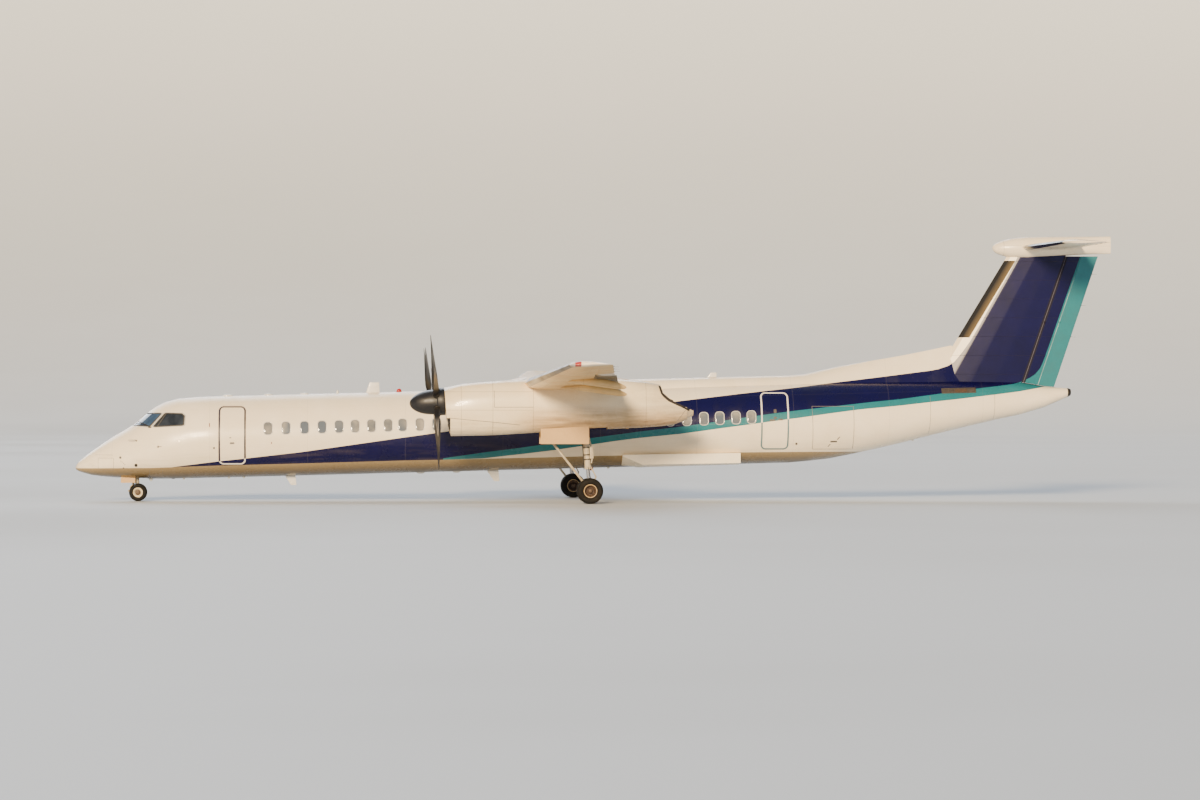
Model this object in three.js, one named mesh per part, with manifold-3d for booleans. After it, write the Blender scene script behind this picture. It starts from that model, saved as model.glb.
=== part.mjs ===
// Twin-engined turboprop airliner with a high wing and a T-tail, parked on its gear.
// Millimetres. Stations run aft from the nose tip, +Y is starboard and +Z is up from the ground.
import * as THREE from 'three';
import { mergeVertices } from 'three/addons/utils/BufferGeometryUtils.js';
import Module from 'manifold-3d';

const wasm = await Module();
wasm.setup();

// Driving dimensions of the whole aircraft
const LENGTH = 32830;
const HALF_SPAN = 14210;
const HEIGHT = 8400;
const CABIN_HALF = 1345;
const CABIN_HEIGHT = 2563;
const KEEL_AT_NOSE = 622;
const ATTITUDE = 0.0254;          // rise of the keel and crown per millimetre aft: it sits nose down
const GEAR_BASE = 13940;
const NOSE_AXLE = 1953;
const MAIN_AXLE = NOSE_AXLE + GEAR_BASE;
const HALF_TRACK = 4395;
const NACELLE_Y = 4410;
const PROPELLER_RADIUS = 2055;
const TAILPLANE_HALF = 4635;

// Clearances
const FIT = 0.4;                  // between pieces that rest on each other
const COVE = 11;                  // round the nose of an aileron or elevator
const RUDDER_COVE = 15;
const END_GAP = 8;                // at the ends of a control surface or flap
const DOOR_GAP = 6;

// Materials
const paint = (color, roughness = 0.35) => new THREE.MeshStandardMaterial({ color, roughness, metalness: 0 });
const metal = (color, roughness = 0.4) => new THREE.MeshStandardMaterial({ color, roughness, metalness: 1 });
const WHITE = paint(0xefe9dc);
const CREAM = paint(0xe6dcc6);
const BLUE = paint(0x23235c);
const TEAL = paint(0x46908f);
const BLACK = paint(0x151517, 0.3);
const RUBBER = paint(0x1c1b1a, 0.85);
const GLASS = new THREE.MeshStandardMaterial({ color: 0x4d7fa8, roughness: 0.05, metalness: 0 });
const STEEL = metal(0xb9b4a8);
const DARK_STEEL = metal(0x3a3632, 0.55);
const ALLOY = metal(0xd8d4c8, 0.3);
const CABIN_GREY = paint(0x4a4a4c, 0.7);

const SIDES = [['left', -1], ['right', 1]];

const airliner = new THREE.Group();
airliner.position.x = -LENGTH / 2;

// Shapes as solids, and their joins and cuts

function solid(geometry) {
  const bare = geometry.index ? geometry : geometry.clone();
  bare.deleteAttribute('normal');
  bare.deleteAttribute('uv');
  const merged = mergeVertices(bare, 1e-3);
  const vertProperties = new Float32Array(merged.attributes.position.array);
  const triVerts = new Uint32Array(merged.index.array);
  return new wasm.Manifold(new wasm.Mesh({ numProp: 3, vertProperties, triVerts }));
}

function geometryOf(body) {
  const made = body.getMesh();
  const geometry = new THREE.BufferGeometry();
  geometry.setAttribute('position', new THREE.BufferAttribute(made.vertProperties, 3));
  geometry.setIndex(new THREE.BufferAttribute(made.triVerts, 1));
  geometry.computeVertexNormals();
  return geometry;
}

const cut = (body, ...cutters) => cutters.reduce((left, cutter) => left.subtract(cutter), body);
const join = (body, ...others) => others.reduce((sum, other) => sum.add(other), body);

function piece(name, body, material, parent = airliner) {
  const mesh = new THREE.Mesh(geometryOf(body), material);
  mesh.name = name;
  parent.add(mesh);
}

// A closed skin over rings that all have the same number of points, with flat ends
function loft(rings) {
  const count = rings[0].length;
  const positions = rings.flat(2);
  const index = [];
  for (let ring = 0; ring < rings.length - 1; ring += 1) {
    for (let point = 0; point < count; point += 1) {
      const next = (point + 1) % count;
      const a = ring * count + point;
      const b = ring * count + next;
      index.push(a, b, a + count, b, b + count, a + count);
    }
  }
  const last = (rings.length - 1) * count;
  for (const [a, b, c] of endTriangles(rings[0])) {
    index.push(b, a, c);
  }
  for (const [a, b, c] of endTriangles(rings[rings.length - 1])) {
    index.push(last + a, last + b, last + c);
  }
  if (signedVolume(positions, index) < 0) {
    index.reverse();
  }
  const geometry = new THREE.BufferGeometry();
  geometry.setAttribute('position', new THREE.Float32BufferAttribute(positions, 3));
  geometry.setIndex(index);
  return solid(geometry);
}

// Triangles over a flat ring, turning the way the ring does
function endTriangles(ring) {
  const points = ring.map((point) => new THREE.Vector3(...point));
  const normal = new THREE.Vector3();
  points.forEach((point, i) => {
    const next = points[(i + 1) % points.length];
    normal.add(new THREE.Vector3().crossVectors(point, next));
  });
  normal.normalize();
  const along = new THREE.Vector3().subVectors(points[1], points[0]).normalize();
  const across = new THREE.Vector3().crossVectors(normal, along);
  const flat = points.map((point) => new THREE.Vector2(point.dot(along), point.dot(across)));
  return THREE.ShapeUtils.triangulateShape(flat, []);
}

function signedVolume(positions, index) {
  let volume = 0;
  const corner = (i) => new THREE.Vector3(...positions.slice(3 * index[i], 3 * index[i] + 3));
  for (let i = 0; i < index.length; i += 3) {
    volume += corner(i).dot(corner(i + 1).cross(corner(i + 2)));
  }
  return volume;
}

function box([x0, x1], [y0, y1], [z0, z1]) {
  const geometry = new THREE.BoxGeometry(x1 - x0, Math.abs(y1 - y0), z1 - z0);
  geometry.translate((x0 + x1) / 2, (y0 + y1) / 2, (z0 + z1) / 2);
  return solid(geometry);
}

// Outline of stations and heights, drawn out from y0 to y1
function sidePrism(points, y0, y1) {
  const shape = new THREE.Shape(points.map(([x, z]) => new THREE.Vector2(x, z)));
  const geometry = new THREE.ExtrudeGeometry(shape, { depth: Math.abs(y1 - y0), bevelEnabled: false });
  geometry.rotateX(Math.PI / 2);
  geometry.translate(0, Math.max(y0, y1), 0);
  return solid(geometry);
}

// Outline of stations and widths, drawn up from z0 to z1
function planPrism(points, z0, z1) {
  const shape = new THREE.Shape(points.map(([x, y]) => new THREE.Vector2(x, y)));
  const geometry = new THREE.ExtrudeGeometry(shape, { depth: z1 - z0, bevelEnabled: false });
  geometry.translate(0, 0, z0);
  return solid(geometry);
}

// Round bar between two points, which may taper
function rod(from, to, radius, endRadius = radius, sides = 12) {
  const start = new THREE.Vector3(...from);
  const end = new THREE.Vector3(...to);
  const way = new THREE.Vector3().subVectors(end, start);
  const geometry = new THREE.CylinderGeometry(endRadius, radius, way.length(), sides);
  const turn = new THREE.Quaternion().setFromUnitVectors(new THREE.Vector3(0, 1, 0), way.clone().normalize());
  geometry.applyQuaternion(turn);
  geometry.translate(...start.add(end).multiplyScalar(0.5).toArray());
  return solid(geometry);
}

// Profile of radii and widths turned round a line along Y at a station and height, a flat at the foot
function wheel(profile, sides, station, y, height) {
  const points = profile.map(([radius, width]) => new THREE.Vector2(radius, width));
  points.push(points[0].clone());
  const geometry = new THREE.LatheGeometry(points, sides, Math.PI / sides);
  geometry.translate(station, y, height);
  return positive(geometry);
}

// Profile of radii and axial places turned round the X axis
function turned(profile, sides) {
  const points = profile.map(([radius, along]) => new THREE.Vector2(radius, along));
  const geometry = new THREE.LatheGeometry(points, sides);
  geometry.rotateZ(-Math.PI / 2);
  return positive(geometry);
}

// A solid whose faces point out whichever way its profile was drawn
function positive(geometry) {
  const index = Array.from(geometry.index.array);
  const positions = Array.from(geometry.attributes.position.array);
  if (signedVolume(positions, index) < 0) {
    geometry.setIndex(index.reverse());
  }
  return solid(geometry);
}

// Bodies: rows of stations, cut and joined end to end

// One ring of a body: each quarter is a superellipse about its widest height
function bodyRing([station, half, crown, keel, widest, power = 2], { grow = 0, sides = 32, y = 0 } = {}) {
  const ring = [];
  for (let point = 0; point < sides; point += 1) {
    const turn = (2 * Math.PI * point) / sides;
    const bend = (value) => Math.sign(value) * Math.abs(value) ** (2 / power);
    const across = bend(Math.cos(turn)) * (half + grow);
    const up = bend(Math.sin(turn));
    const rise = up > 0 ? crown - widest + grow : widest - keel + grow;
    ring.push([station, y + across, widest + up * rise]);
  }
  return ring;
}

// The row at a station, in line between its neighbours
function rowAt(rows, station) {
  const after = Math.max(1, rows.findIndex((row) => row[0] >= station));
  const [low, high] = [rows[after - 1], rows[after]];
  const part = (station - low[0]) / (high[0] - low[0]);
  return high.map((value, column) => low[column] + part * (value - low[column]));
}

function body(rows, { from = rows[0][0], to = rows[rows.length - 1][0], ...ring } = {}) {
  const inner = rows.filter(([station]) => station > from && station < to);
  return loft([rowAt(rows, from), ...inner, rowAt(rows, to)].map((row) => bodyRing(row, ring)));
}

const keelAt = (station) => KEEL_AT_NOSE + ATTITUDE * station;
const crownAt = (station) => keelAt(station) + CABIN_HEIGHT;
const cabinRow = (station) => {
  const crown = crownAt(station);
  return [station, CABIN_HALF, crown, keelAt(station), crown - CABIN_HALF];
};

const RADOME_END = 580;
const TAIL_END = 31530;
// Columns: station, half width, crown, keel, widest height
const FUSELAGE_ROWS = [
  [0, 22, 1068, 1022, 1045],
  [30, 100, 1140, 985, 1047],
  [100, 190, 1240, 945, 1052],
  [250, 320, 1370, 895, 1067],
  [500, 480, 1565, 828, 1105],
  [800, 632, 1775, 786, 1155],
  [1200, 795, 2045, 752, 1225],
  [1600, 925, 2275, 728, 1315],
  [1850, 995, 2435, 714, 1385],
  [2200, 1080, 2745, 706, 1490],
  [2500, 1145, 2965, 704, 1575],
  [2800, 1195, 3110, 706, 1660],
  [3200, 1250, 3220, 712, 1755],
  [3700, 1300, 3268, 722, 1850],
  [4300, 1333, 3296, 735, 1930],
  cabinRow(5000),
  cabinRow(13600),
  cabinRow(22500),
  [23100, 1342, 3769, 1245, 2430],
  [23800, 1325, 3780, 1325, 2465],
  [24500, 1280, 3790, 1462, 2515],
  [25300, 1205, 3798, 1635, 2585],
  [26100, 1105, 3802, 1822, 2670],
  [27100, 955, 3803, 2075, 2790],
  [28100, 800, 3800, 2315, 2910],
  [29100, 640, 3785, 2550, 3040],
  [29900, 510, 3755, 2718, 3140],
  [30660, 375, 3612, 2942, 3250],
  [31100, 290, 3580, 3128, 3345],
  [31460, 210, 3562, 3285, 3420],
  [TAIL_END, 160, 3535, 3325, 3428],
];
const fuselageSkin = (grow) => body(FUSELAGE_ROWS, { grow });

// Wings, tailplane and fin: rows of foil sections

const FOIL_STEPS = 8;
// Half thickness of a four-digit foil, as a share of the chord
function foilHalf(at, thickness) {
  const root = 0.2969 * Math.sqrt(at);
  return 5 * thickness * (root + at * (-0.126 + at * (-0.3516 + at * (0.2843 - 0.1015 * at))));
}

// Points round a foil from its leading edge over the top: chordwise and up, in millimetres
function foilPoints(chord, thickness, camber, grow) {
  const upper = [];
  const lower = [];
  for (let step = 1; step <= FOIL_STEPS; step += 1) {
    const at = (1 - Math.cos((Math.PI * step) / FOIL_STEPS)) / 2;
    const along = at * chord + (step === FOIL_STEPS ? grow : 0);
    const middle = camber * 4 * at * (1 - at) * chord;
    const half = foilHalf(at, thickness) * chord + grow;
    upper.push([along, middle + half]);
    lower.unshift([along, middle - half]);
  }
  return [[-grow, 0], ...upper, ...lower];
}

// Columns: y, leading station, leading height, chord, thickness share, camber share, incidence in degrees
function wingLoft(rows, grow = 0) {
  return loft(rows.map(([y, lead, height, chord, thickness, camber, incidence]) => {
    const turn = THREE.MathUtils.degToRad(incidence);
    return foilPoints(chord, thickness, camber, grow).map(([along, up]) => [
      lead + along * Math.cos(turn) + up * Math.sin(turn),
      y,
      height - along * Math.sin(turn) + up * Math.cos(turn),
    ]);
  }));
}

const WING_CAMBER = 0.022;
const WING_BREAK = 5080;          // joint of the flat centre section and the outer panel
const WING_LEAD = 13880;
const WING_LEAD_HEIGHT = 3690;
const WING_CHORD = 2780;
const WING_TIP_START = 13960;
// Columns: y, leading station, leading height, chord, thickness share
const TIP_ROWS = [
  [WING_TIP_START, 14712, 4141, 1238, 0.13],
  [14130, 14760, 4152, 1150, 0.115],
  [HALF_SPAN, 14850, 4156, 930, 0.06],
];
function wingRow(y) {
  const out = Math.max(0, (Math.abs(y) - WING_BREAK) / (WING_TIP_START - WING_BREAK));
  const [, tipLead, tipHeight, tipChord, tipThickness] = TIP_ROWS[0];
  const blend = (inner, outer) => inner + out * (outer - inner);
  return {
    lead: blend(WING_LEAD, tipLead),
    height: blend(WING_LEAD_HEIGHT, tipHeight),
    chord: blend(WING_CHORD, tipChord),
    thickness: blend(0.18, tipThickness),
    incidence: blend(1.1, 0),
  };
}
function wingSection(y) {
  const row = wingRow(y);
  return [y, row.lead, row.height, row.chord, row.thickness, WING_CAMBER, row.incidence];
}
const centreWing = (grow) => wingLoft([wingSection(-WING_BREAK), wingSection(WING_BREAK)], grow);
function outerWing(side) {
  const tip = TIP_ROWS.map(([y, ...rest]) => [side * y, ...rest, WING_CAMBER, 0]);
  return wingLoft([wingSection(side * (WING_BREAK + FIT)), ...tip]);
}

// Station and height of a place on a section's mean line, and half its thickness there
function sectionPlace({ lead, height, chord, thickness, incidence }, share) {
  const turn = THREE.MathUtils.degToRad(incidence);
  const middle = WING_CAMBER * 4 * share * (1 - share) * chord;
  return [
    lead + share * chord * Math.cos(turn) + middle * Math.sin(turn),
    height - share * chord * Math.sin(turn) + middle * Math.cos(turn),
    foilHalf(share, thickness) * chord,
  ];
}
// The same at any y: straight lines join the end sections of the outer panel
function wingPlace(y, share) {
  const out = Math.max(0, (Math.abs(y) - WING_BREAK) / (WING_TIP_START - WING_BREAK));
  const inner = sectionPlace(wingRow(WING_BREAK), share);
  const outer = sectionPlace(wingRow(WING_TIP_START), share);
  const [station, height, half] = inner.map((value, i) => value + out * (outer[i] - value));
  return { point: [station, y, height], half };
}

// Hinges of the control surfaces: a knuckle on a web, in a pocket of the moving nose

const HINGE = { half: 30, gap: 0.35, round: 4, reach: 40, share: 0.6, web: 14 };
function hingeBetween(start, end, radius) {
  const [from, to] = [start, end].map((point) => new THREE.Vector3(...point));
  const way = new THREE.Vector3().subVectors(to, from).normalize();
  const middle = from.add(to).multiplyScalar(0.5);
  const forward = new THREE.Vector3(-1, 0, 0).addScaledVector(way, way.x).normalize();
  const off = (vector, distance) => middle.clone().addScaledVector(vector, distance).toArray();
  const bar = (half, size) => rod(off(way, -half), off(way, half), size);
  const web = rod(middle.toArray(), off(forward, radius + HINGE.reach), HINGE.web, HINGE.web, 8);
  return {
    pocket: bar(HINGE.half, radius + HINGE.round),
    knuckle: join(bar(HINGE.half - HINGE.gap, radius * HINGE.share), web),
  };
}

// Fuselage: radome, hull with its flight deck and doorway, glass and doors

const GLASS_DEPTH = 28;
const GLASS_INSET = 5;
const WALL = 90;                  // skin and frames round the flight deck and doorway
const PANEL_DEPTH = 55;           // thickness of a door
const POST_HALF = 45;             // centre post of the windscreen
const BEYOND_SKIN = 1500;         // a width that every cut through the hull's side reaches
// Outlines seen from the side: station and height of each corner
const WINDSCREEN = [[1560, 2400], [2362, 2350], [2728, 2762], [1990, 2765]];
const SIDE_WINDOW = [[2455, 2338], [3420, 2385], [3440, 2680], [3360, 2752], [2822, 2768]];
const DECK_FLOOR = 1930;
const DECK = { x: [1800, 3560], y: [-1400, 1400], z: [DECK_FLOOR, 3120] };

const centreOf = (points) => [0, 1].map((axis) => (
  points.reduce((sum, point) => sum + point[axis], 0) / points.length));
// An outline drawn in or out from its middle by a few millimetres
function spread(points, reach) {
  const [cx, cz] = centreOf(points);
  return points.map(([x, z]) => {
    const far = Math.hypot(x - cx, z - cz);
    return [x + ((x - cx) / far) * reach, z + ((z - cz) / far) * reach];
  });
}

const NEAR_CENTRE = 300;
const cockpitPanes = [
  { name: 'windshield', outline: WINDSCREEN, inner: POST_HALF },
  { name: 'side_window', outline: SIDE_WINDOW, inner: NEAR_CENTRE },
];
const paneCutters = SIDES.flatMap(([, side]) => cockpitPanes.map(({ outline, inner }) => (
  sidePrism(outline, side * inner, side * BEYOND_SKIN))));

// Doors seen from the side: stations and heights
const AIRSTAIR = { x: [4500, 5350], z: [1150, 2990], crown: 160, foot: 60 };
const AFT_DOOR = { x: [21480, 22370], z: [1610, 3430], crown: 160, foot: 160 };
const CORNER_STEPS = 4;
// A door's outline with round corners, drawn out by a few millimetres
function doorOutline({ x: [x0, x1], z: [z0, z1], crown, foot }, reach = 0) {
  const corners = [
    [x1 - crown, z1 - crown, crown],
    [x0 + crown, z1 - crown, crown],
    [x0 + foot, z0 + foot, foot],
    [x1 - foot, z0 + foot, foot],
  ];
  return corners.flatMap(([x, z, radius], corner) => Array.from({ length: CORNER_STEPS + 1 }, (_, step) => {
    const turn = (Math.PI / 2) * (corner + step / CORNER_STEPS);
    return [x + (radius + reach) * Math.cos(turn), z + (radius + reach) * Math.sin(turn)];
  }));
}
const portPrism = (points) => sidePrism(points, -BEYOND_SKIN, -NEAR_CENTRE);

const DOORWAY = { x: [4560, 5290], y: [-1300, -380], z: [1190, 2930] };
const hullInside = fuselageSkin(-WALL);
const deck = box(DECK.x, DECK.y, DECK.z).intersect(hullInside);
const doorway = box(DOORWAY.x, DOORWAY.y, DOORWAY.z);
const doorPocket = (door, gap) => (
  portPrism(doorOutline(door, gap)).subtract(fuselageSkin(-PANEL_DEPTH - gap)));

// Bay that takes the nose gear, with the leg's bearing near its roof
const NOSE_BAY = { x: [1420, 2240], half: 225, roof: 1230 };
const noseBay = box(NOSE_BAY.x, [-NOSE_BAY.half, NOSE_BAY.half], [0, NOSE_BAY.roof]);

// Flat pads for jacks, proud of the skin
const PAD_RADIUS = 45;
const PAD_PROUD = 14;
const PAD_DEPTH = 60;
const PAD_SINK = 12;              // the keel is higher under the nose pad's edge
const NOSE_PAD = [3050, 0];
function jackPad(station, y, keel, up) {
  return rod([station, y, keel - PAD_PROUD], [station, y, keel + up], PAD_RADIUS);
}

// Foot of the airstair door, which runs a little inward as the hull widens, and the hinge under it
const FOOT = { station: 4500, y: -999, lean: 0.01824 };
const footAt = (station) => FOOT.y + (station - FOOT.station) * FOOT.lean;
const STAIR_HINGE = { height: 1147, radius: 12, room: 17, length: 60, starts: [4640, 5150] };
function stairBars(radius, shift, spare = 0) {
  return STAIR_HINGE.starts.map((start) => {
    const ends = [start + shift - spare, start + shift + STAIR_HINGE.length + spare];
    const [from, to] = ends.map((station) => [station, footAt(station), STAIR_HINGE.height]);
    return rod(from, to, radius);
  });
}
const SILL_BARS = 0;              // the sill's knuckles come first, then the door's
const DOOR_BARS = STAIR_HINGE.length + HINGE.gap;

const hull = cut(
  body(FUSELAGE_ROWS, { from: RADOME_END + FIT }),
  ...stairBars(STAIR_HINGE.room, DOOR_BARS, HINGE.gap),
  deck,
  ...paneCutters,
  doorPocket(AIRSTAIR, DOOR_GAP),
  doorPocket(AFT_DOOR, FIT),
  doorway,
  noseBay,
);
const nosePad = jackPad(...NOSE_PAD, keelAt(NOSE_PAD[0]) + PAD_SINK, PAD_DEPTH);
piece('fuselage', join(hull, nosePad, ...stairBars(STAIR_HINGE.radius, SILL_BARS)), WHITE);
piece('radome', body(FUSELAGE_ROWS, { to: RADOME_END }), WHITE);

for (const [sideName, side] of SIDES) {
  for (const { name, outline, inner } of cockpitPanes) {
    const pane = sidePrism(spread(outline, -FIT), side * (inner + FIT), side * BEYOND_SKIN);
    const face = pane.intersect(fuselageSkin(-GLASS_INSET));
    const glass = face.subtract(fuselageSkin(-GLASS_INSET - GLASS_DEPTH));
    piece(`${name}_${sideName}`, glass, GLASS);
  }
}

// Instrument panel, pedestal and two seats on the flight deck's floor
const deckTop = DECK_FLOOR + FIT;
const COAMING = { outline: [[2120, deckTop], [2420, deckTop], [2500, 2300], [2230, 2330]], half: 760 };
const PEDESTAL = { x: [2400, 3330], y: [-150, 150], z: [deckTop, 2080] };
const SEAT = { y: 480, half: 230, x: [2860, 3330], z: [deckTop + 20, 2180] };
const SEAT_BACK = [[3240, 2100], [3360, 2100], [3470, 2700], [3370, 2720]];
const SEAT_RAIL = { x: [3150, 3300], y: [-SEAT.y, SEAT.y], z: [deckTop, 2060] };
const DECK_SPACE = 4;             // between the furniture and the cabin wall
const seats = SIDES.flatMap(([, side]) => {
  const across = [side * SEAT.y - SEAT.half, side * SEAT.y + SEAT.half];
  return [box(SEAT.x, across, SEAT.z), sidePrism(SEAT_BACK, ...across)];
});
const furniture = join(
  sidePrism(COAMING.outline, -COAMING.half, COAMING.half),
  box(PEDESTAL.x, PEDESTAL.y, PEDESTAL.z),
  box(SEAT_RAIL.x, SEAT_RAIL.y, SEAT_RAIL.z),
  ...seats,
);
piece('flight_deck', furniture.intersect(fuselageSkin(-WALL - DECK_SPACE)), CABIN_GREY);

// Airstair door: a skin panel with steps on its inner face, hinged along its foot
const STEPS = { x: [4640, 5210], y: [-1300, -640], thick: 35, deep: 150, root: 10 };
const STEP_HEIGHTS = [1420, 1700, 1980, 2260, 2540];
const stair = STEP_HEIGHTS.map((height) => box(STEPS.x, STEPS.y, [height, height + STEPS.thick]));
// Its foot is cut square to the skin, so that it swings clear of the sill
const BEVEL = 200;
const BEVEL_SPARE = 10;
const footBevel = loft([AIRSTAIR.x[0] - BEVEL_SPARE, AIRSTAIR.x[1] + BEVEL_SPARE].map((station) => [
  [station, footAt(station), AIRSTAIR.z[0]],
  [station, footAt(station) + BEVEL, AIRSTAIR.z[0] + BEVEL],
  [station, footAt(station) + BEVEL, AIRSTAIR.z[0] - BEVEL],
  [station, footAt(station), AIRSTAIR.z[0] - BEVEL],
]));
const doorSkin = cut(
  portPrism(doorOutline(AIRSTAIR)).intersect(fuselageSkin(0)),
  fuselageSkin(-PANEL_DEPTH),
  footBevel,
  ...stairBars(STAIR_HINGE.room, SILL_BARS, HINGE.gap),
);
const steps = cut(
  join(...stair).intersect(fuselageSkin(STEPS.root - PANEL_DEPTH)),
  fuselageSkin(-PANEL_DEPTH - STEPS.deep),
);
piece('airstair_door', join(doorSkin, steps, ...stairBars(STAIR_HINGE.radius, DOOR_BARS)), WHITE);
const aftSkin = cut(portPrism(doorOutline(AFT_DOOR)).intersect(fuselageSkin(0)), fuselageSkin(-PANEL_DEPTH));
piece('aft_passenger_door', aftSkin, WHITE);

// Fairing under the rear fuselage, below the skin all along its foot
// Columns: station, top height, side foot height, keel height
const BELLY_ROWS = [
  [17140, 1455, 1410, keelAt(17140) + 60],
  [17760, 1465, 1150, keelAt(17760) - 12],
  [20850, 1515, 1200, keelAt(20850) - 12],
];
const BELLY_HALF = 1175;
const BELLY_FLAT = 640;
const bellyRing = ([station, top, foot, keel]) => [
  [station, BELLY_HALF, top],
  [station, -BELLY_HALF, top],
  [station, -BELLY_HALF, foot],
  [station, -BELLY_FLAT, keel],
  [station, BELLY_FLAT, keel],
  [station, BELLY_HALF, foot],
];
piece('belly_fairing', cut(loft(BELLY_ROWS.map(bellyRing)), fuselageSkin(FIT)), WHITE);

// Tail: spine, fin with its two-part rudder, bullet fairing, tailplane and elevators

// Columns: station, half width, crown, keel, widest height, power
const SPINE_ROWS = [
  [17400 + FIT, 640, 3836, 3300, 3400, 2.3],
  [18500, 560, 3862, 3320, 3430, 2.1],
  [19700, 520, 3894, 3350, 3480, 1.9],
  [22500, 500, 3962, 3400, 3560, 1.75],
  [23000, 490, 3995, 3420, 3570, 1.7],
  [23500, 475, 4110, 3400, 3570, 1.6],
  [24100, 460, 4250, 3400, 3560, 1.5],
  [25100, 420, 4420, 3400, 3560, 1.35],
  [26100, 380, 4590, 3400, 3550, 1.25],
  [27000, 330, 4770, 3400, 3530, 1.2],
  [27700, 270, 4920, 3400, 3500, 1.15],
  [28250, 190, 4500, 3400, 3500, 1.15],
];

// Lines of the fin seen from the side, as a station at a height and a lean in millimetres per millimetre
const FIN_FOOT = 3400;
const RUDDER_TOP = 7765;
const FIN_TOP = 7900;
const lineAt = ({ station, height, lean }, at) => station + (at - height) * lean;
const FIN_LEAD = { station: 27910, height: 5157, lean: 0.608 };
const FIN_TRAIL = { station: 31010, height: 3600, lean: 0.34 };
const FORE_HINGE = { station: 30050, height: 3790, lean: 0.3444 };
const REAR_HINGE = { station: 30880, height: 4780, lean: 0.3444 };
const FIN_THICKNESS = 0.105;
function finSkin(grow = 0) {
  return loft([FIN_FOOT - grow, FIN_TOP + grow].map((height) => {
    const lead = lineAt(FIN_LEAD, height);
    const chord = lineAt(FIN_TRAIL, height) - lead;
    return foilPoints(chord, FIN_THICKNESS, 0, grow).map(([along, across]) => [lead + along, across, height]);
  }));
}
// The hinge line of a rudder and the fin's half thickness along it
function finHinge(line, height) {
  const lead = lineAt(FIN_LEAD, height);
  const chord = lineAt(FIN_TRAIL, height) - lead;
  const station = lineAt(line, height);
  return { point: [station, 0, height], half: foilHalf((station - lead) / chord, FIN_THICKNESS) * chord };
}
const PAST_FIN = { aft: 3000, half: 600 };
// Everything aft of a hinge line, with the round nose that turns on it
function aftOf(line, extra) {
  const foot = finHinge(line, FIN_FOOT);
  const top = finHinge(line, FIN_TOP);
  const aft = [
    [foot.point[0], FIN_FOOT],
    [foot.point[0] + PAST_FIN.aft, FIN_FOOT],
    [top.point[0] + PAST_FIN.aft, FIN_TOP],
    [top.point[0], FIN_TOP],
  ];
  const nose = rod(foot.point, top.point, foot.half + extra, top.half + extra, 20);
  return join(sidePrism(aft, -PAST_FIN.half, PAST_FIN.half), nose);
}

// Columns: station, half width, crown, keel, widest height
const BULLET_ROWS = [
  [29030, 30, 8055, 7985, 8015],
  [29060, 95, 8110, 7930, 8013],
  [29130, 160, 8165, 7865, 8010],
  [29270, 220, 8228, 7800, 8008],
  [29530, 275, 8306, 7730, 8005],
  [29800, 305, 8350, 7702, 8005],
  [30150, 320, 8376, 7692, 8008],
  [30800, 320, 8388, 7735, 8040],
  [31600, 275, 8395, 7800, 8075],
  [32300, 180, 8398, 7838, 8105],
  [LENGTH, 70, HEIGHT, 7845, 8110],
];
const bullet = (grow) => body(BULLET_ROWS, { grow, sides: 20 });

const TAILPLANE_HEIGHT = 8042;
// Columns: share of the half span, leading station, leading height, chord, thickness share
const TAILPLANE_ROWS = [
  [0, 29900, TAILPLANE_HEIGHT, 1960, 0.11],
  [0.975, 30475, TAILPLANE_HEIGHT, 1385, 0.11],
  [1, 30590, TAILPLANE_HEIGHT, 1180, 0.06],
];
const tailRow = (side) => ([share, ...rest]) => [side * share * TAILPLANE_HALF, ...rest, 0, 0];
function tailplaneSkin(grow = 0) {
  const port = TAILPLANE_ROWS.slice(1).reverse().map(tailRow(-1));
  return wingLoft([...port, ...TAILPLANE_ROWS.map(tailRow(1))], grow);
}
const ELEVATOR_HINGE = 31370;
const ELEVATOR_Y = [410, 4500];
const PAST_ELEVATOR = { station: 33000, z: [7500, HEIGHT] };
function elevatorNose(y) {
  const [root, tip] = TAILPLANE_ROWS;
  const out = y / (tip[0] * TAILPLANE_HALF);
  const lead = root[1] + out * (tip[1] - root[1]);
  const chord = root[3] + out * (tip[3] - root[3]);
  return foilHalf((ELEVATOR_HINGE - lead) / chord, tip[4]) * chord;
}
function elevatorRegion(side, gap, extra) {
  const [inner, outer] = [ELEVATOR_Y[0] - gap, ELEVATOR_Y[1] + gap];
  const stations = [ELEVATOR_HINGE, PAST_ELEVATOR.station];
  const aft = box(stations, [side * inner, side * outer], PAST_ELEVATOR.z);
  const nose = rod(
    [ELEVATOR_HINGE, side * inner, TAILPLANE_HEIGHT],
    [ELEVATOR_HINGE, side * outer, TAILPLANE_HEIGHT],
    elevatorNose(inner) + extra,
    elevatorNose(outer) + extra,
    16,
  );
  return join(aft, nose);
}

// Station and height of each corner of both rudders' span
const RUDDER_SPAN = [
  [29300, 3860],
  [30050, 3742],
  [30700, 3626],
  [31050, 3600],
  [33000, 3592],
  [33000, RUDDER_TOP],
  [29300, RUDDER_TOP],
];
const NOSE_TRIM = -2;             // keeps a hinged nose inside its own skin
const rudderSpan = sidePrism(RUDDER_SPAN, -PAST_FIN.half, PAST_FIN.half).intersect(finSkin());
const [foreHinge, rearHinge] = [FORE_HINGE, REAR_HINGE].map((line) => {
  const [foot, top] = [finHinge(line, FIN_FOOT), finHinge(line, FIN_TOP)];
  return hingeBetween(foot.point, top.point, (foot.half + top.half) / 2);
});
const foreRudder = cut(
  rudderSpan.intersect(aftOf(FORE_HINGE, NOSE_TRIM)),
  aftOf(REAR_HINGE, RUDDER_COVE),
  foreHinge.pocket,
);
const rearRudder = cut(rudderSpan.intersect(aftOf(REAR_HINGE, NOSE_TRIM)), rearHinge.pocket);
const finBody = cut(finSkin(), fuselageSkin(FIT), bullet(FIT), aftOf(FORE_HINGE, RUDDER_COVE));
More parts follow.
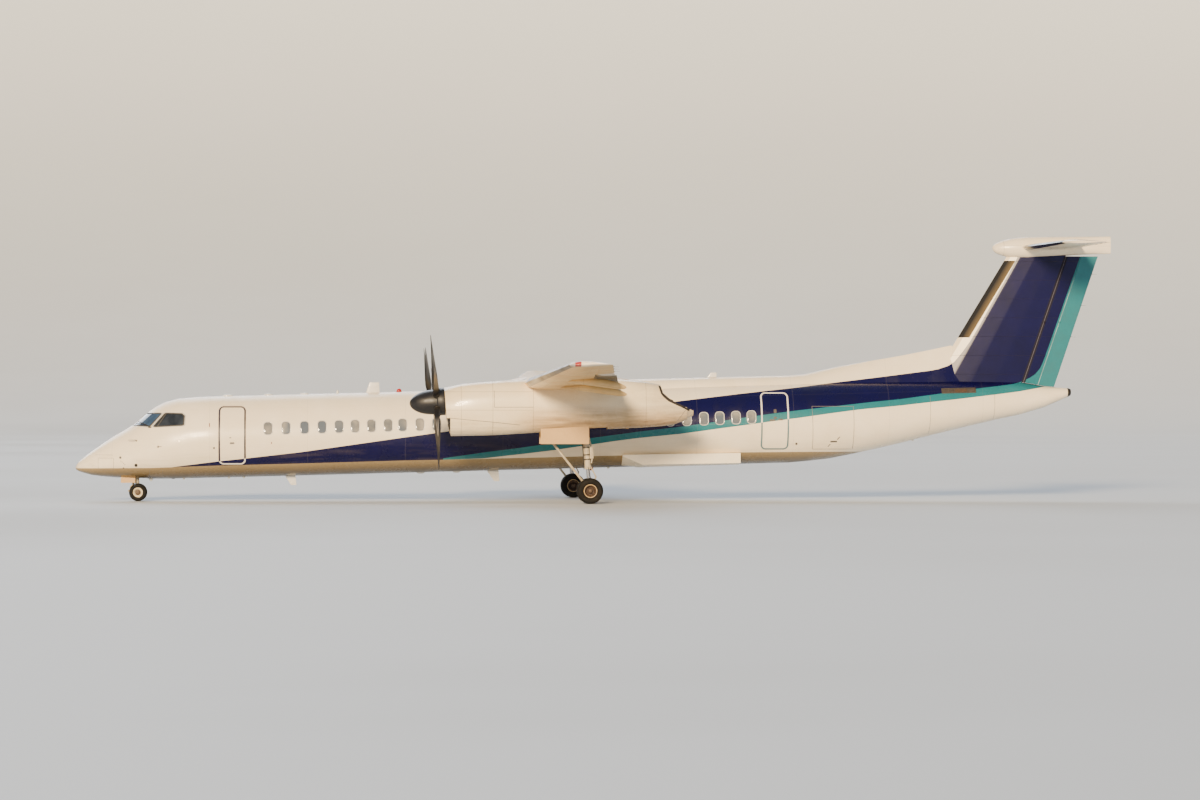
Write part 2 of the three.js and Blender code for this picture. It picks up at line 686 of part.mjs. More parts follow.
piece('dorsal_spine', cut(body(SPINE_ROWS, { sides: 20 }), fuselageSkin(FIT), finSkin(FIT)), WHITE);
piece('fin', join(finBody, foreHinge.knuckle), BLUE);
piece('fore_rudder', join(foreRudder, rearHinge.knuckle), BLUE);
piece('rear_rudder', rearRudder, TEAL);
piece('bullet_fairing', cut(bullet(0), tailplaneSkin(FIT)), WHITE);
const elevatorHinges = SIDES.map(([, side]) => hingeBetween(
  ...ELEVATOR_Y.map((y) => [ELEVATOR_HINGE, side * y, TAILPLANE_HEIGHT]),
  elevatorNose((ELEVATOR_Y[0] + ELEVATOR_Y[1]) / 2),
));
const stabiliser = cut(tailplaneSkin(), ...SIDES.map(([, side]) => elevatorRegion(side, END_GAP, COVE)));
piece('tailplane', join(stabiliser, ...elevatorHinges.map(({ knuckle }) => knuckle)), WHITE);
SIDES.forEach(([sideName, side], i) => {
  const elevator = tailplaneSkin().intersect(elevatorRegion(side, 0, NOSE_TRIM));
  piece(`elevator_${sideName}`, cut(elevator, elevatorHinges[i].pocket), WHITE);
});

// Wing: flat centre section with its root fairing, outer panels, flaps and ailerons

// Columns: station, half width, crown, keel, widest height, power
const ROOT_FAIRING_ROWS = [
  [12450, 300, 3535, 3200, 3350, 2],
  [12850, 620, 3630, 3050, 3230, 2.2],
  [13300, 860, 3735, 2990, 3180, 2.4],
  [13900, 980, 3880, 2960, 3170, 2.5],
  [14800, 1030, 4022, 2960, 3190, 2.5],
  [15800, 1030, 3992, 2990, 3220, 2.5],
  [16700, 930, 3915, 3060, 3290, 2.4],
  [17400, 640, 3838, 3250, 3400, 2.3],
];
const FLAP_SHARE = 0.7;           // where a flap's nose lies along the wing's chord
const FLAP_DROOP = 7;
const FLAP_DROP = 22;
const FLAP_NOSE_GAP = 14;
const FLAP_END = 1.03;            // a flap's trailing edge, as a share of the wing's chord
const FLAP_CAMBER = 0.03;
const flapSpans = [
  { name: 'inner_flap', from: 1150, to: 3690, thickness: 0.27 },
  { name: 'flap', from: 5160, to: 10380, thickness: 0.26 },
];
const PAST_WING = { station: 18000, z: [3000, 5000] };
// The space aft of the wing's cut edge that a flap fills
function flapSpace(side, { from, to }) {
  const corner = (y) => wingPlace(y, FLAP_SHARE).point[0];
  const outline = [
    [corner(from), side * (from - END_GAP)],
    [corner(to), side * (to + END_GAP)],
    [PAST_WING.station, side * (to + END_GAP)],
    [PAST_WING.station, side * (from - END_GAP)],
  ];
  return planPrism(outline, ...PAST_WING.z);
}
function flapSolid(side, { from, to, thickness }) {
  return wingLoft([from, to].map((y) => {
    const { point } = wingPlace(y, FLAP_SHARE);
    const { chord, incidence } = wingRow(y);
    const lead = [point[0] + FLAP_NOSE_GAP, point[2] - FLAP_DROP];
    const flapChord = (FLAP_END - FLAP_SHARE) * chord;
    return [side * y, ...lead, flapChord, thickness, FLAP_CAMBER, incidence + FLAP_DROOP];
  }));
}

const AILERON_SHARE = 0.72;
const AILERON_Y = [10470, 13880];
function aileronHinge(side, y) {
  const { point, half } = wingPlace(y, AILERON_SHARE);
  return { point: [point[0], side * y, point[2]], half };
}
function aileronRegion(side, gap, extra) {
  const [inner, outer] = [aileronHinge(side, AILERON_Y[0] - gap), aileronHinge(side, AILERON_Y[1] + gap)];
  const outline = [
    inner.point.slice(0, 2),
    outer.point.slice(0, 2),
    [PAST_WING.station, outer.point[1]],
    [PAST_WING.station, inner.point[1]],
  ];
  const nose = rod(inner.point, outer.point, inner.half + extra, outer.half + extra, 16);
  const span = box([WING_LEAD, PAST_WING.station], [inner.point[1], outer.point[1]], PAST_WING.z);
  return join(planPrism(outline, ...PAST_WING.z), nose).intersect(span);
}

// Slim canoes under the wing that carry the flap tracks
// Columns: share of the canoe's length, half width, height over and under its middle line
const CANOE_ROWS = [
  [0, 8, 10, 10],
  [0.12, 45, 84, 45],
  [0.35, 74, 132, 84],
  [0.62, 84, 155, 104],
  [0.85, 78, 125, 104],
  [0.96, 52, 62, 70],
  [1, 16, 20, 24],
];
// Their places, and how far a tail hangs under the trailing edge, as a share of the chord
const CANOES = {
  centre: { places: [2450], droop: 0.04 },
  outer: { places: [6450, 8850], droop: 0.15 },
};
const CANOE_START = 0.34;
const CANOE_TAIL = 330;
const CANOE_HANG = 45;
function canoe(y, side, droop, grow) {
  const { chord } = wingRow(y);
  const start = wingPlace(y, CANOE_START);
  const tail = wingPlace(y, 1);
  const length = (1 - CANOE_START) * chord + CANOE_TAIL;
  const front = start.point[2] - start.half - CANOE_HANG;
  const drop = front - (tail.point[2] - droop * chord);
  return loft(CANOE_ROWS.map(([share, half, over, under]) => {
    const middle = front - drop * share ** 2;
    const row = [start.point[0] + share * length, half, middle + over, middle - under, middle, 2];
    return bodyRing(row, { grow, sides: 10, y: side * y });
  }));
}
const canoesOf = (side, { places, droop }, grow) => places.map((y) => canoe(y, side, droop, grow));

const rootFairing = body(ROOT_FAIRING_ROWS, { sides: 24 });
const centreCanoes = [-1, 1].flatMap((side) => canoesOf(side, CANOES.centre, 0));
const centreFlapSpaces = [-1, 1].map((side) => flapSpace(side, flapSpans[0]));
const centreSection = cut(join(cut(centreWing(0), ...centreFlapSpaces), rootFairing), fuselageSkin(FIT));
piece('wing_centre', join(centreSection, ...centreCanoes), WHITE);
for (const [sideName, side] of SIDES) {
  const panel = cut(outerWing(side), flapSpace(side, flapSpans[1]), aileronRegion(side, END_GAP, COVE));
  const [inner, outer] = AILERON_Y.map((y) => aileronHinge(side, y));
  const hinge = hingeBetween(inner.point, outer.point, (inner.half + outer.half) / 2);
  const aileron = outerWing(side).intersect(aileronRegion(side, 0, NOSE_TRIM));
  piece(`wing_${sideName}`, join(panel, hinge.knuckle, ...canoesOf(side, CANOES.outer, 0)), CREAM);
  piece(`aileron_${sideName}`, cut(aileron, hinge.pocket), CREAM);
  flapSpans.forEach((span, i) => {
    const canoes = canoesOf(side, i ? CANOES.outer : CANOES.centre, FIT);
    piece(`${span.name}_${sideName}`, cut(flapSolid(side, span), rootFairing, ...canoes), WHITE);
  });
}

// Nacelles: hollow cowling with the chin intake, engine block, body under the wing and jet pipe

// Columns: station, half width, crown, keel, widest height, power
const NACELLE_ROWS = [
  [11400, 515, 3480, 2080, 2790, 2.3],
  [11620, 575, 3565, 2068, 2800, 2.4],
  [11990, 620, 3660, 2075, 2820, 2.5],
  [12600, 650, 3715, 2086, 2850, 2.6],
  [13150, 660, 3757, 2105, 2870, 2.6],
  [14060, 665, 3806, 2160, 2900, 2.6],
  [15800, 660, 3815, 2250, 2950, 2.6],
  [16800, 640, 3810, 2296, 2980, 2.5],
  [17500, 590, 3745, 2330, 2990, 2.4],
  [18100, 520, 3630, 2372, 2980, 2.3],
  [18500, 435, 3500, 2432, 2950, 2.2],
  [18850, 305, 3250, 2562, 2880, 2.1],
  [19060, 130, 3000, 2700, 2820, 2],
];
const COWL_WALL = 42;
const COWL_FRONT = 11560;         // back of the cowling's front wall
const COWL_END = 13800;
const nacelleSkin = (side, range = {}) => body(NACELLE_ROWS, { sides: 24, y: side * NACELLE_Y, ...range });

const THRUST_TILT = THREE.MathUtils.degToRad(3.6);
const PROPELLER_STATION = 11157;
const PROPELLER_HEIGHT = 3109;
const onThrust = (side, station) => {
  const rise = (station - PROPELLER_STATION) * Math.tan(THRUST_TILT);
  return [station, side * NACELLE_Y, PROPELLER_HEIGHT + rise];
};

// What is cut off the nacelle's front, and off its tail where the jet pipe opens upward
const ABREAST = 9000;             // farther out than anything on a nacelle
const FRONT_CUT = [[10000, 3900], [11440, 3900], [11447, 3500], [11503, 2670], [11668, 2000], [10000, 2000]];
const TAIL_CUT = [
  [18050, 4200], [18050, 3600], [18110, 3360], [18300, 3190],
  [18660, 3030], [19000, 2860], [20000, 2700], [20000, 4200],
];
const PIPE = { outer: 299.6, inner: 272, room: 300, proud: 20 };
// The jet pipe's axis, as station and height, and where its outside, inside and room end on it
const PIPE_AXIS = { from: [17420, 3060], rise: 0.1368 };
const PIPE_ENDS = { outer: [17480, 18420], inner: [17280, 18800], room: [17420, 18950] };
function pipeRod(side, part) {
  const ends = PIPE_ENDS[part].map((station) => {
    const height = PIPE_AXIS.from[1] + (station - PIPE_AXIS.from[0]) * PIPE_AXIS.rise;
    return [station, side * NACELLE_Y, height];
  });
  return rod(...ends, PIPE[part], PIPE[part], 20);
}

const GEARBOX = { front: 11640, back: 12020, radius: 240 };
// The propeller's shaft and the bore it runs in, whose floor it nearly meets
const SHAFT = { radius: 90, bore: 92.4, mouth: 11500, floor: 12000, hole: [11300, 11700], holeRadius: 125 };
const ENGINE = { front: 11980, back: 14400, half: 372, crown: 3440, keel: 2480 };
const ENGINE_ROOM = { around: 25, ahead: 100 };
const WHEEL_BAY = { x: [14550, 16420], half: 335, z: [1500, 2900] };
const NACELLE_PAD = { station: 17050, keel: 2306 };

function cowling(side) {
  const outer = cut(nacelleSkin(side, { to: COWL_END - FIT }), sidePrism(FRONT_CUT, -ABREAST, ABREAST));
  const inside = nacelleSkin(side, { from: COWL_FRONT, to: COWL_END + FIT, grow: -COWL_WALL });
  const shaftHole = rod(onThrust(side, SHAFT.hole[0]), onThrust(side, SHAFT.hole[1]), SHAFT.holeRadius);
  return cut(outer, inside, shaftHole);
}

function engine(side) {
  const middle = (ENGINE.crown + ENGINE.keel) / 2;
  const row = (station) => [station, ENGINE.half, ENGINE.crown, ENGINE.keel, middle, 4];
  const block = body([row(ENGINE.front), row(ENGINE.back - FIT)], { sides: 16, y: side * NACELLE_Y });
  const gearbox = rod(onThrust(side, GEARBOX.front), onThrust(side, GEARBOX.back), GEARBOX.radius);
  const bore = rod(onThrust(side, SHAFT.mouth), onThrust(side, SHAFT.floor), SHAFT.bore, SHAFT.bore, 16);
  return cut(join(block, gearbox), bore);
}

function nacelleBody(side) {
  const middle = side * NACELLE_Y;
  const room = box(
    [COWL_END - ENGINE_ROOM.ahead, ENGINE.back],
    [middle - ENGINE.half - ENGINE_ROOM.around, middle + ENGINE.half + ENGINE_ROOM.around],
    [ENGINE.keel - ENGINE_ROOM.around, ENGINE.crown + ENGINE_ROOM.around],
  );
  const bay = box(WHEEL_BAY.x, [middle - WHEEL_BAY.half, middle + WHEEL_BAY.half], WHEEL_BAY.z);
  const shell = cut(
    nacelleSkin(side, { from: COWL_END }),
    centreWing(FIT),
    room,
    bay,
    sidePrism(TAIL_CUT, -ABREAST, ABREAST),
    pipeRod(side, 'room'),
  );
  return join(shell, jackPad(NACELLE_PAD.station, middle, NACELLE_PAD.keel, PAD_DEPTH));
}

function jetPipe(side) {
  const lip = TAIL_CUT.map(([x, z]) => [x + PIPE.proud, z + PIPE.proud]);
  return cut(pipeRod(side, 'outer'), pipeRod(side, 'inner'), sidePrism(lip, -ABREAST, ABREAST));
}

// Propellers: spinner, and six blades on a hub with its back plate and shaft

const SPINNER_NOSE = -768;
const SPINNER_RADIUS = 380;
const BACK_RADIUS = 420;
const BACK_END = 308;
const BACK_STEP = [70, 78];       // where the spinner widens into its back part
const SPINNER_WALL = 14;
const SPINNER_SIDES = 18;
// The spinner's nose from its tip, an ellipse up to the blades' plane
function spinnerNose(radius, nose, steps) {
  return Array.from({ length: steps + 1 }, (_, step) => {
    const turn = (Math.PI / 2) * (step / steps);
    return [radius * Math.sin(turn), nose * Math.cos(turn)];
  });
}
function spinner() {
  const outer = [
    ...spinnerNose(SPINNER_RADIUS, SPINNER_NOSE, 7),
    [SPINNER_RADIUS, BACK_STEP[0]],
    [BACK_RADIUS, BACK_STEP[1]],
    [BACK_RADIUS, BACK_END],
    [0, BACK_END],
  ];
  const inner = [
    ...spinnerNose(SPINNER_RADIUS - SPINNER_WALL, SPINNER_NOSE / 2, 2),
    [SPINNER_RADIUS - SPINNER_WALL, BACK_STEP[0] + SPINNER_WALL],
    [BACK_RADIUS - SPINNER_WALL, BACK_STEP[1] + SPINNER_WALL],
    [BACK_RADIUS - SPINNER_WALL, BACK_END + FIT],
    [0, BACK_END + FIT],
  ];
  const [from, to] = [ROOT_HOLE.from, ROOT_HOLE.to].map((radius) => [BLADE_ROOT, 0, radius]);
  const hole = () => rod(from, to, ROOT_HOLE.radius, ROOT_HOLE.radius, 8);
  const holes = bladeTurns.map((turn) => turnedAboutShaft(hole(), turn));
  return cut(turned(outer, SPINNER_SIDES), turned(inner, SPINNER_SIDES), ...holes);
}

const BLADES = 6;
const BLADE_ROOT = 55;            // axial place of the root, aft of the tips' plane
const ROOT = { radius: 82, from: 120, to: 470 };
const ROOT_HOLE = { radius: 96, from: 200, to: 600 };
const HUB = { x: [-120, 230], radius: 210, shaft: 200 };
const PLATE_THICK = 20;
const bladeTurns = Array.from({ length: BLADES }, (_, i) => (2 * Math.PI * i) / BLADES);
function turnedAboutShaft(made, turn) {
  const geometry = geometryOf(made);
  geometry.rotateX(turn);
  return solid(geometry);
}
// Columns: radius, chord, pitch in degrees, thickness share, axial place
const BLADE_ROWS = [
  [430, 175, 60, 0.5, 55],
  [600, 268, 46, 0.2, 48],
  [1000, 328, 27, 0.09, 35],
  [1500, 305, 15, 0.06, 19],
  [1900, 205, 9, 0.05, 5],
  [PROPELLER_RADIUS, 75, 8, 0.06, 0],
];
function blade() {
  const rings = BLADE_ROWS.map(([radius, chord, pitch, thickness, axial]) => {
    const turn = THREE.MathUtils.degToRad(pitch);
    const section = [[-0.5, 0], [-0.28, 0.48], [0.12, 0.46], [0.5, 0.04], [0.5, -0.04], [-0.2, -0.25]];
    const [sine, cosine] = [Math.sin(turn), Math.cos(turn)];
    return section.map(([along, out]) => {
      const [u, v] = [along * chord, out * thickness * chord];
      return [axial + u * sine + v * cosine, u * cosine - v * sine, radius];
    });
  });
  const root = rod([BLADE_ROOT, 0, ROOT.from], [BLADE_ROOT, 0, ROOT.to], ROOT.radius, ROOT.radius, 8);
  return join(loft(rings), root);
}
function propeller() {
  const plateRadius = BACK_RADIUS - SPINNER_WALL - FIT;
  const hub = rod([HUB.x[0], 0, 0], [HUB.x[1], 0, 0], HUB.radius);
  const plateFront = [BACK_END - PLATE_THICK, 0, 0];
  const plate = rod(plateFront, [BACK_END, 0, 0], plateRadius, plateRadius, SPINNER_SIDES);
  const shaftEnd = (SHAFT.floor - PROPELLER_STATION) / Math.cos(THRUST_TILT) - HINGE.gap;
  const shaft = rod([HUB.shaft, 0, 0], [shaftEnd, 0, 0], SHAFT.radius, SHAFT.radius, 16);
  const blades = bladeTurns.map((turn) => turnedAboutShaft(blade(), turn));
  return join(hub, plate, shaft, ...blades);
}
const PROPELLER_PHASE = { left: 0, right: THREE.MathUtils.degToRad(30) };

for (const [sideName, side] of SIDES) {
  piece(`cowling_${sideName}`, cowling(side), WHITE);
  piece(`engine_${sideName}`, engine(side), DARK_STEEL);
  piece(`nacelle_${sideName}`, nacelleBody(side), WHITE);
  piece(`jet_pipe_${sideName}`, jetPipe(side), DARK_STEEL);
  const tilted = new THREE.Group();
  tilted.position.set(PROPELLER_STATION, side * NACELLE_Y, PROPELLER_HEIGHT);
  tilted.rotation.y = -THRUST_TILT;
  const turning = new THREE.Group();
  turning.rotation.x = PROPELLER_PHASE[sideName];
  tilted.add(turning);
  airliner.add(tilted);
  piece(`spinner_${sideName}`, spinner(), BLACK, turning);
  piece(`propeller_${sideName}`, propeller(), BLACK, turning);
}

// Landing gear: twin wheels on each leg

const MAIN_WHEEL = { radius: 394, half: 165, rim: 160, apart: 240, axle: 50, bore: 51.8, sides: 24 };
const NOSE_WHEEL = { radius: 279.5, half: 82, rim: 112, apart: 152, axle: 32, bore: 33.2, sides: 20 };
const AXLE_SIDES = 16;
const AXLE_END = 0.8;             // the axle's end in the outer wheel, as a share of the tyre's half width
// Columns: radius and width of the tyre's section, each side mirrored
function tyreProfile({ radius, half, rim, sides }) {
  const height = radius - rim;
  const tread = radius / Math.cos(Math.PI / sides);
  const flank = [
    [rim, half * 0.66],
    [rim + height * 0.4, half],
    [rim + height * 0.85, half * 0.88],
    [tread, half * 0.45],
  ];
  return [...flank, ...flank.map(([r, w]) => [r, -w]).reverse()];
}
const RIM_BACK = 0.62;             // inner face of the rim, as a share of the tyre's half width
// The dished rim, its outer face deeper than its inner one
function rimProfile({ rim, half, bore, sides }, out) {
  const seat = rim * Math.cos(Math.PI / sides) - FIT;
  return [
    [bore, -out * half * RIM_BACK],
    [seat, -out * half * RIM_BACK],
    [seat, out * half * 0.64],
    [rim * 0.88, out * half * 0.64],
    [rim * 0.74, out * half * 0.2],
    [rim * 0.45, out * half * 0.3],
    [bore, out * half * 0.62],
  ];
}
function wheelPair(prefix, size, station, middle) {
  for (const [wheelName, out] of [['port', -1], ['starboard', 1]]) {
    const y = middle + out * size.apart;
    const tyre = wheel(tyreProfile(size), size.sides, station, y, size.radius);
    const rim = wheel(rimProfile(size, out), AXLE_SIDES, station, y, size.radius);
    piece(`${prefix}_tyre_${wheelName}`, tyre, RUBBER);
    piece(`${prefix}_rim_${wheelName}`, rim, ALLOY);
  }
}

// Shoulders on the axle that the rims' hubs run against
function axleCollar({ apart, half, axle, radius }, station, middle) {
  const reach = apart - half * RIM_BACK - HINGE.gap;
  return rod([station, middle - reach, radius], [station, middle + reach, radius], axle * 1.3);
}

const LEG_TOP = { station: 15700, height: 2680 };
const LEG = { radius: 92, end: 1130, piston: 60, inside: 80, bearing: 70 };
const LEG_COLLAR = { radius: 106, z: [1140, 1060] };
const STRUT = { radius: 42, tip: 34, top: 2134, foot: 440, ahead: 20 };
// Torque links, as height and distance ahead of the leg's axis, and the radius at each end
const LINKS = [
  { from: [1180, -70], to: [820, -230], radii: [26, 22] },
  { from: [820, -230], to: [520, -40], radii: [22, 26] },
];
const BAY_WALL = { front: 14000, half: 200 };
const legStation = (height) => {
  const down = (LEG_TOP.height - height) / (LEG_TOP.height - MAIN_WHEEL.radius);
  return LEG_TOP.station + down * (MAIN_AXLE - LEG_TOP.station);
};
function mainLeg(side) {
  const middle = side * HALF_TRACK;
  const at = (height, forward = 0) => [legStation(height) - forward, middle, height];
  const bearing = [WHEEL_BAY.half - FIT, -WHEEL_BAY.half + FIT].map((across) => (
    [LEG_TOP.station, side * NACELLE_Y + across, LEG_TOP.height]));
  const axleHalf = MAIN_WHEEL.apart + MAIN_WHEEL.half * AXLE_END;
  const axle = rod(
    [MAIN_AXLE, middle - axleHalf, MAIN_WHEEL.radius],
    [MAIN_AXLE, middle + axleHalf, MAIN_WHEEL.radius],
    MAIN_WHEEL.axle,
    MAIN_WHEEL.axle,
    AXLE_SIDES,
  );
  const collar = axleCollar(MAIN_WHEEL, MAIN_AXLE, middle);
  const links = LINKS.map(({ from, to, radii }) => rod(at(...from), at(...to), ...radii, 8));
  const strutTop = [WHEEL_BAY.x[0], middle, STRUT.top];
  const strut = rod(strutTop, at(STRUT.foot, STRUT.ahead), STRUT.radius, STRUT.tip, 12);
  const wallWidth = [middle - BAY_WALL.half, middle + BAY_WALL.half];
  const wall = box([BAY_WALL.front, WHEEL_BAY.x[0] + FIT], wallWidth, WHEEL_BAY.z);
  return join(
    rod(at(LEG_TOP.height), at(LEG.end), LEG.radius),
    rod(at(LEG.end + LEG.inside), at(MAIN_WHEEL.radius), LEG.piston),
    rod(at(LEG_COLLAR.z[0]), at(LEG_COLLAR.z[1]), LEG_COLLAR.radius),
    rod(...bearing, LEG.bearing),
    axle,
    collar,
    cut(strut, wall),
    ...links,
  );
}

// Doors that hang open beside the leg, each pair held by two cross rods
const MAIN_DOOR = { x: [14370, 15845], z: [1830, 2700], apart: 425, thick: 28 };
const MAIN_TIES = { stations: [14930, 15300], height: 2110 };
const NOSE_DOOR = { x: [1425, 1870], z: [582, 900], apart: 250, thick: 18 };
const NOSE_TIES = { stations: [1490, 1600], height: 660 };
const TIE_RADIUS = 12;
// What each pair of doors hangs from and is cut by
const MAIN_CARRIER = { x: [14000, 16500], half: 700, z: [2560, 3300] };
const NOSE_CARRIER = { x: [1000, 2500], half: 500, z: [860, 1500] };
function doorPair({ x, z, apart, thick }, { stations, height }, middle, carrier) {
  const panels = [-1, 1].map((out) => {
    const y = middle + out * apart;
    return cut(box(x, [y - thick / 2, y + thick / 2], z), carrier);
  });
  const ties = stations.map((station) => {
    const [port, starboard] = [middle - apart, middle + apart];
    return rod([station, port, height], [station, starboard, height], TIE_RADIUS, TIE_RADIUS, 8);
  });
  return join(...panels, ...ties);
}

for (const [sideName, side] of SIDES) {
  piece(`main_leg_${sideName}`, mainLeg(side), STEEL);
  const width = [-1, 1].map((out) => side * NACELLE_Y + out * MAIN_CARRIER.half);
  const carrier = join(nacelleSkin(side, { grow: FIT }), box(MAIN_CARRIER.x, width, MAIN_CARRIER.z));
  piece(`main_gear_doors_${sideName}`, doorPair(MAIN_DOOR, MAIN_TIES, side * NACELLE_Y, carrier), WHITE);
  wheelPair(`main_${sideName}`, MAIN_WHEEL, MAIN_AXLE, side * HALF_TRACK);
}

// Nose gear: the leg carries a fork that steers on an upright axis
const STEER_STATION = NOSE_AXLE - 45;
const NOSE_LEG = { top: 1120, foot: 640, radius: 68, bearing: 48 };
const NOSE_BRACE = { top: 980, foot: 720, radius: 30, tip: 26, ahead: 20 };
const NOSE_WALL = { x: 1000, y: [-200, 200], z: [600, 1200] };
const noseAt = (height, forward = 0) => [STEER_STATION - forward, 0, height];
piece('nose_leg', join(
  rod(noseAt(NOSE_LEG.top), noseAt(NOSE_LEG.foot + FIT), NOSE_LEG.radius),
  rod(
    [STEER_STATION, -NOSE_BAY.half + FIT, NOSE_LEG.top],
    [STEER_STATION, NOSE_BAY.half - FIT, NOSE_LEG.top],
    NOSE_LEG.bearing,
  ),
  cut(
    rod(
      [NOSE_BAY.x[0] - NOSE_BRACE.ahead, 0, NOSE_BRACE.top],
      noseAt(NOSE_BRACE.foot),
      NOSE_BRACE.radius,
      NOSE_BRACE.tip,
      10,
    ),
    box([NOSE_WALL.x, NOSE_BAY.x[0] + FIT], NOSE_WALL.y, NOSE_WALL.z),
  ),
), STEEL);

const FORK_COLLAR = { z: [640, 565], radius: 84 };
const FORK_LEG = { top: 600, radius: 46, below: 20 };
const FORK_BLOCK = { ahead: 30, aft: 20, half: 40, under: 42, over: 60 };
// Torque links, as height and distance ahead of the steering axis, and the radius at each end
const NOSE_LINKS = [
  { from: [590, 60], to: [430, 215], radii: [20, 16] },
  { from: [430, 215], to: [330, 20], radii: [16, 20] },
];
const TOW_LUG = { x: [1640, 1760], y: [-45, 45], z: [300, 360] };
const TOW_ARM = { x: [1750, STEER_STATION], y: [-26, 26], z: [310, 350] };
const noseAxleHalf = NOSE_WHEEL.apart + NOSE_WHEEL.half * AXLE_END;
piece('nose_fork', join(
  rod(noseAt(FORK_COLLAR.z[0]), noseAt(FORK_COLLAR.z[1]), FORK_COLLAR.radius),
  rod(noseAt(FORK_LEG.top), noseAt(NOSE_WHEEL.radius - FORK_LEG.below), FORK_LEG.radius),
  box(
    [STEER_STATION - FORK_BLOCK.ahead, NOSE_AXLE + FORK_BLOCK.aft],
    [-FORK_BLOCK.half, FORK_BLOCK.half],
    [NOSE_WHEEL.radius - FORK_BLOCK.under, NOSE_WHEEL.radius + FORK_BLOCK.over],
  ),
  rod(
    [NOSE_AXLE, -noseAxleHalf, NOSE_WHEEL.radius],
    [NOSE_AXLE, noseAxleHalf, NOSE_WHEEL.radius],
    NOSE_WHEEL.axle,
    NOSE_WHEEL.axle,
    AXLE_SIDES,
  ),
  ...NOSE_LINKS.map(({ from, to, radii }) => rod(noseAt(...from), noseAt(...to), ...radii, 8)),
  box(TOW_LUG.x, TOW_LUG.y, TOW_LUG.z),
  box(TOW_ARM.x, TOW_ARM.y, TOW_ARM.z),
  axleCollar(NOSE_WHEEL, NOSE_AXLE, 0),
), STEEL);
wheelPair('nose', NOSE_WHEEL, NOSE_AXLE, 0);
const noseCarrier = box(NOSE_CARRIER.x, [-NOSE_CARRIER.half, NOSE_CARRIER.half], NOSE_CARRIER.z);
piece('nose_gear_doors', doorPair(NOSE_DOOR, NOSE_TIES, 0, join(fuselageSkin(FIT), noseCarrier)), WHITE);

export default airliner;
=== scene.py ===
"""Looks of a parked twin-engined turboprop airliner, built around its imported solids. Metres, +Z up."""

from math import copysign, cos, hypot, pi, radians, sin, sqrt

import bmesh
import bpy
import numpy as np
from mathutils import Matrix, Vector


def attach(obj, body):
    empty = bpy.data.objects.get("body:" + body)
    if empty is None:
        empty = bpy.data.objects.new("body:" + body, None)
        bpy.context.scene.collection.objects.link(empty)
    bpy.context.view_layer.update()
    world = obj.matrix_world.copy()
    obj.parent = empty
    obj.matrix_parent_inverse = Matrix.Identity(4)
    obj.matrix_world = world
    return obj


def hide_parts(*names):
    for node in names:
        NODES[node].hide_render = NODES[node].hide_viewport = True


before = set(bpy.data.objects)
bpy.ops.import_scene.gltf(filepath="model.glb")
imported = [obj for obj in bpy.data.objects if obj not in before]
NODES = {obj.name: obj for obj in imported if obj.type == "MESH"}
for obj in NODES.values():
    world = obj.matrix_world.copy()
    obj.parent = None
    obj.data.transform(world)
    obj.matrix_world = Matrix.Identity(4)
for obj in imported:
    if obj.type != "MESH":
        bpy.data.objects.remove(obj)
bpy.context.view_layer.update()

# Place of the nose tip in the frame. Stations in the tables below run aft from it, in metres
NOSE = -16.415
PORT, STARBOARD = BOTH = (-1, 1)
SIDES = (("left", PORT), ("right", STARBOARD))
LEAN = 0.0254                     # rise of the cabin's keel and crown for each metre aft


# Camera

FOCAL_PIXELS = 4022
PICTURE_WIDTH = 1200
SENSOR = 36.0
camera_data = bpy.data.cameras.new("camera")
camera_data.sensor_width = SENSOR
camera_data.lens = FOCAL_PIXELS / PICTURE_WIDTH * SENSOR
camera_data.clip_end = 1500
camera = bpy.data.objects.new("camera", camera_data)
camera.location = (-8.301, -127.08, 2.911)
camera.rotation_euler = (radians(90.121), 0, radians(-3.774))
bpy.context.collection.objects.link(camera)
bpy.context.scene.camera = camera


# Node materials

def rgb(number):
    """Linear colour from a display colour, two hexadecimal digits each for red, green and blue."""
    return (*[v / 255 / 12.92 if v <= 10.3 else ((v / 255 + 0.055) / 1.055) ** 2.4
              for v in (number >> 16, number >> 8 & 255, number & 255)], 1.0)


def sum_by(operation):
    """A method of Value that joins it and further inputs by a math node."""
    def work(value, *others):
        return value.shader.out("ShaderNodeMath", value, *others, operation=operation)
    return work


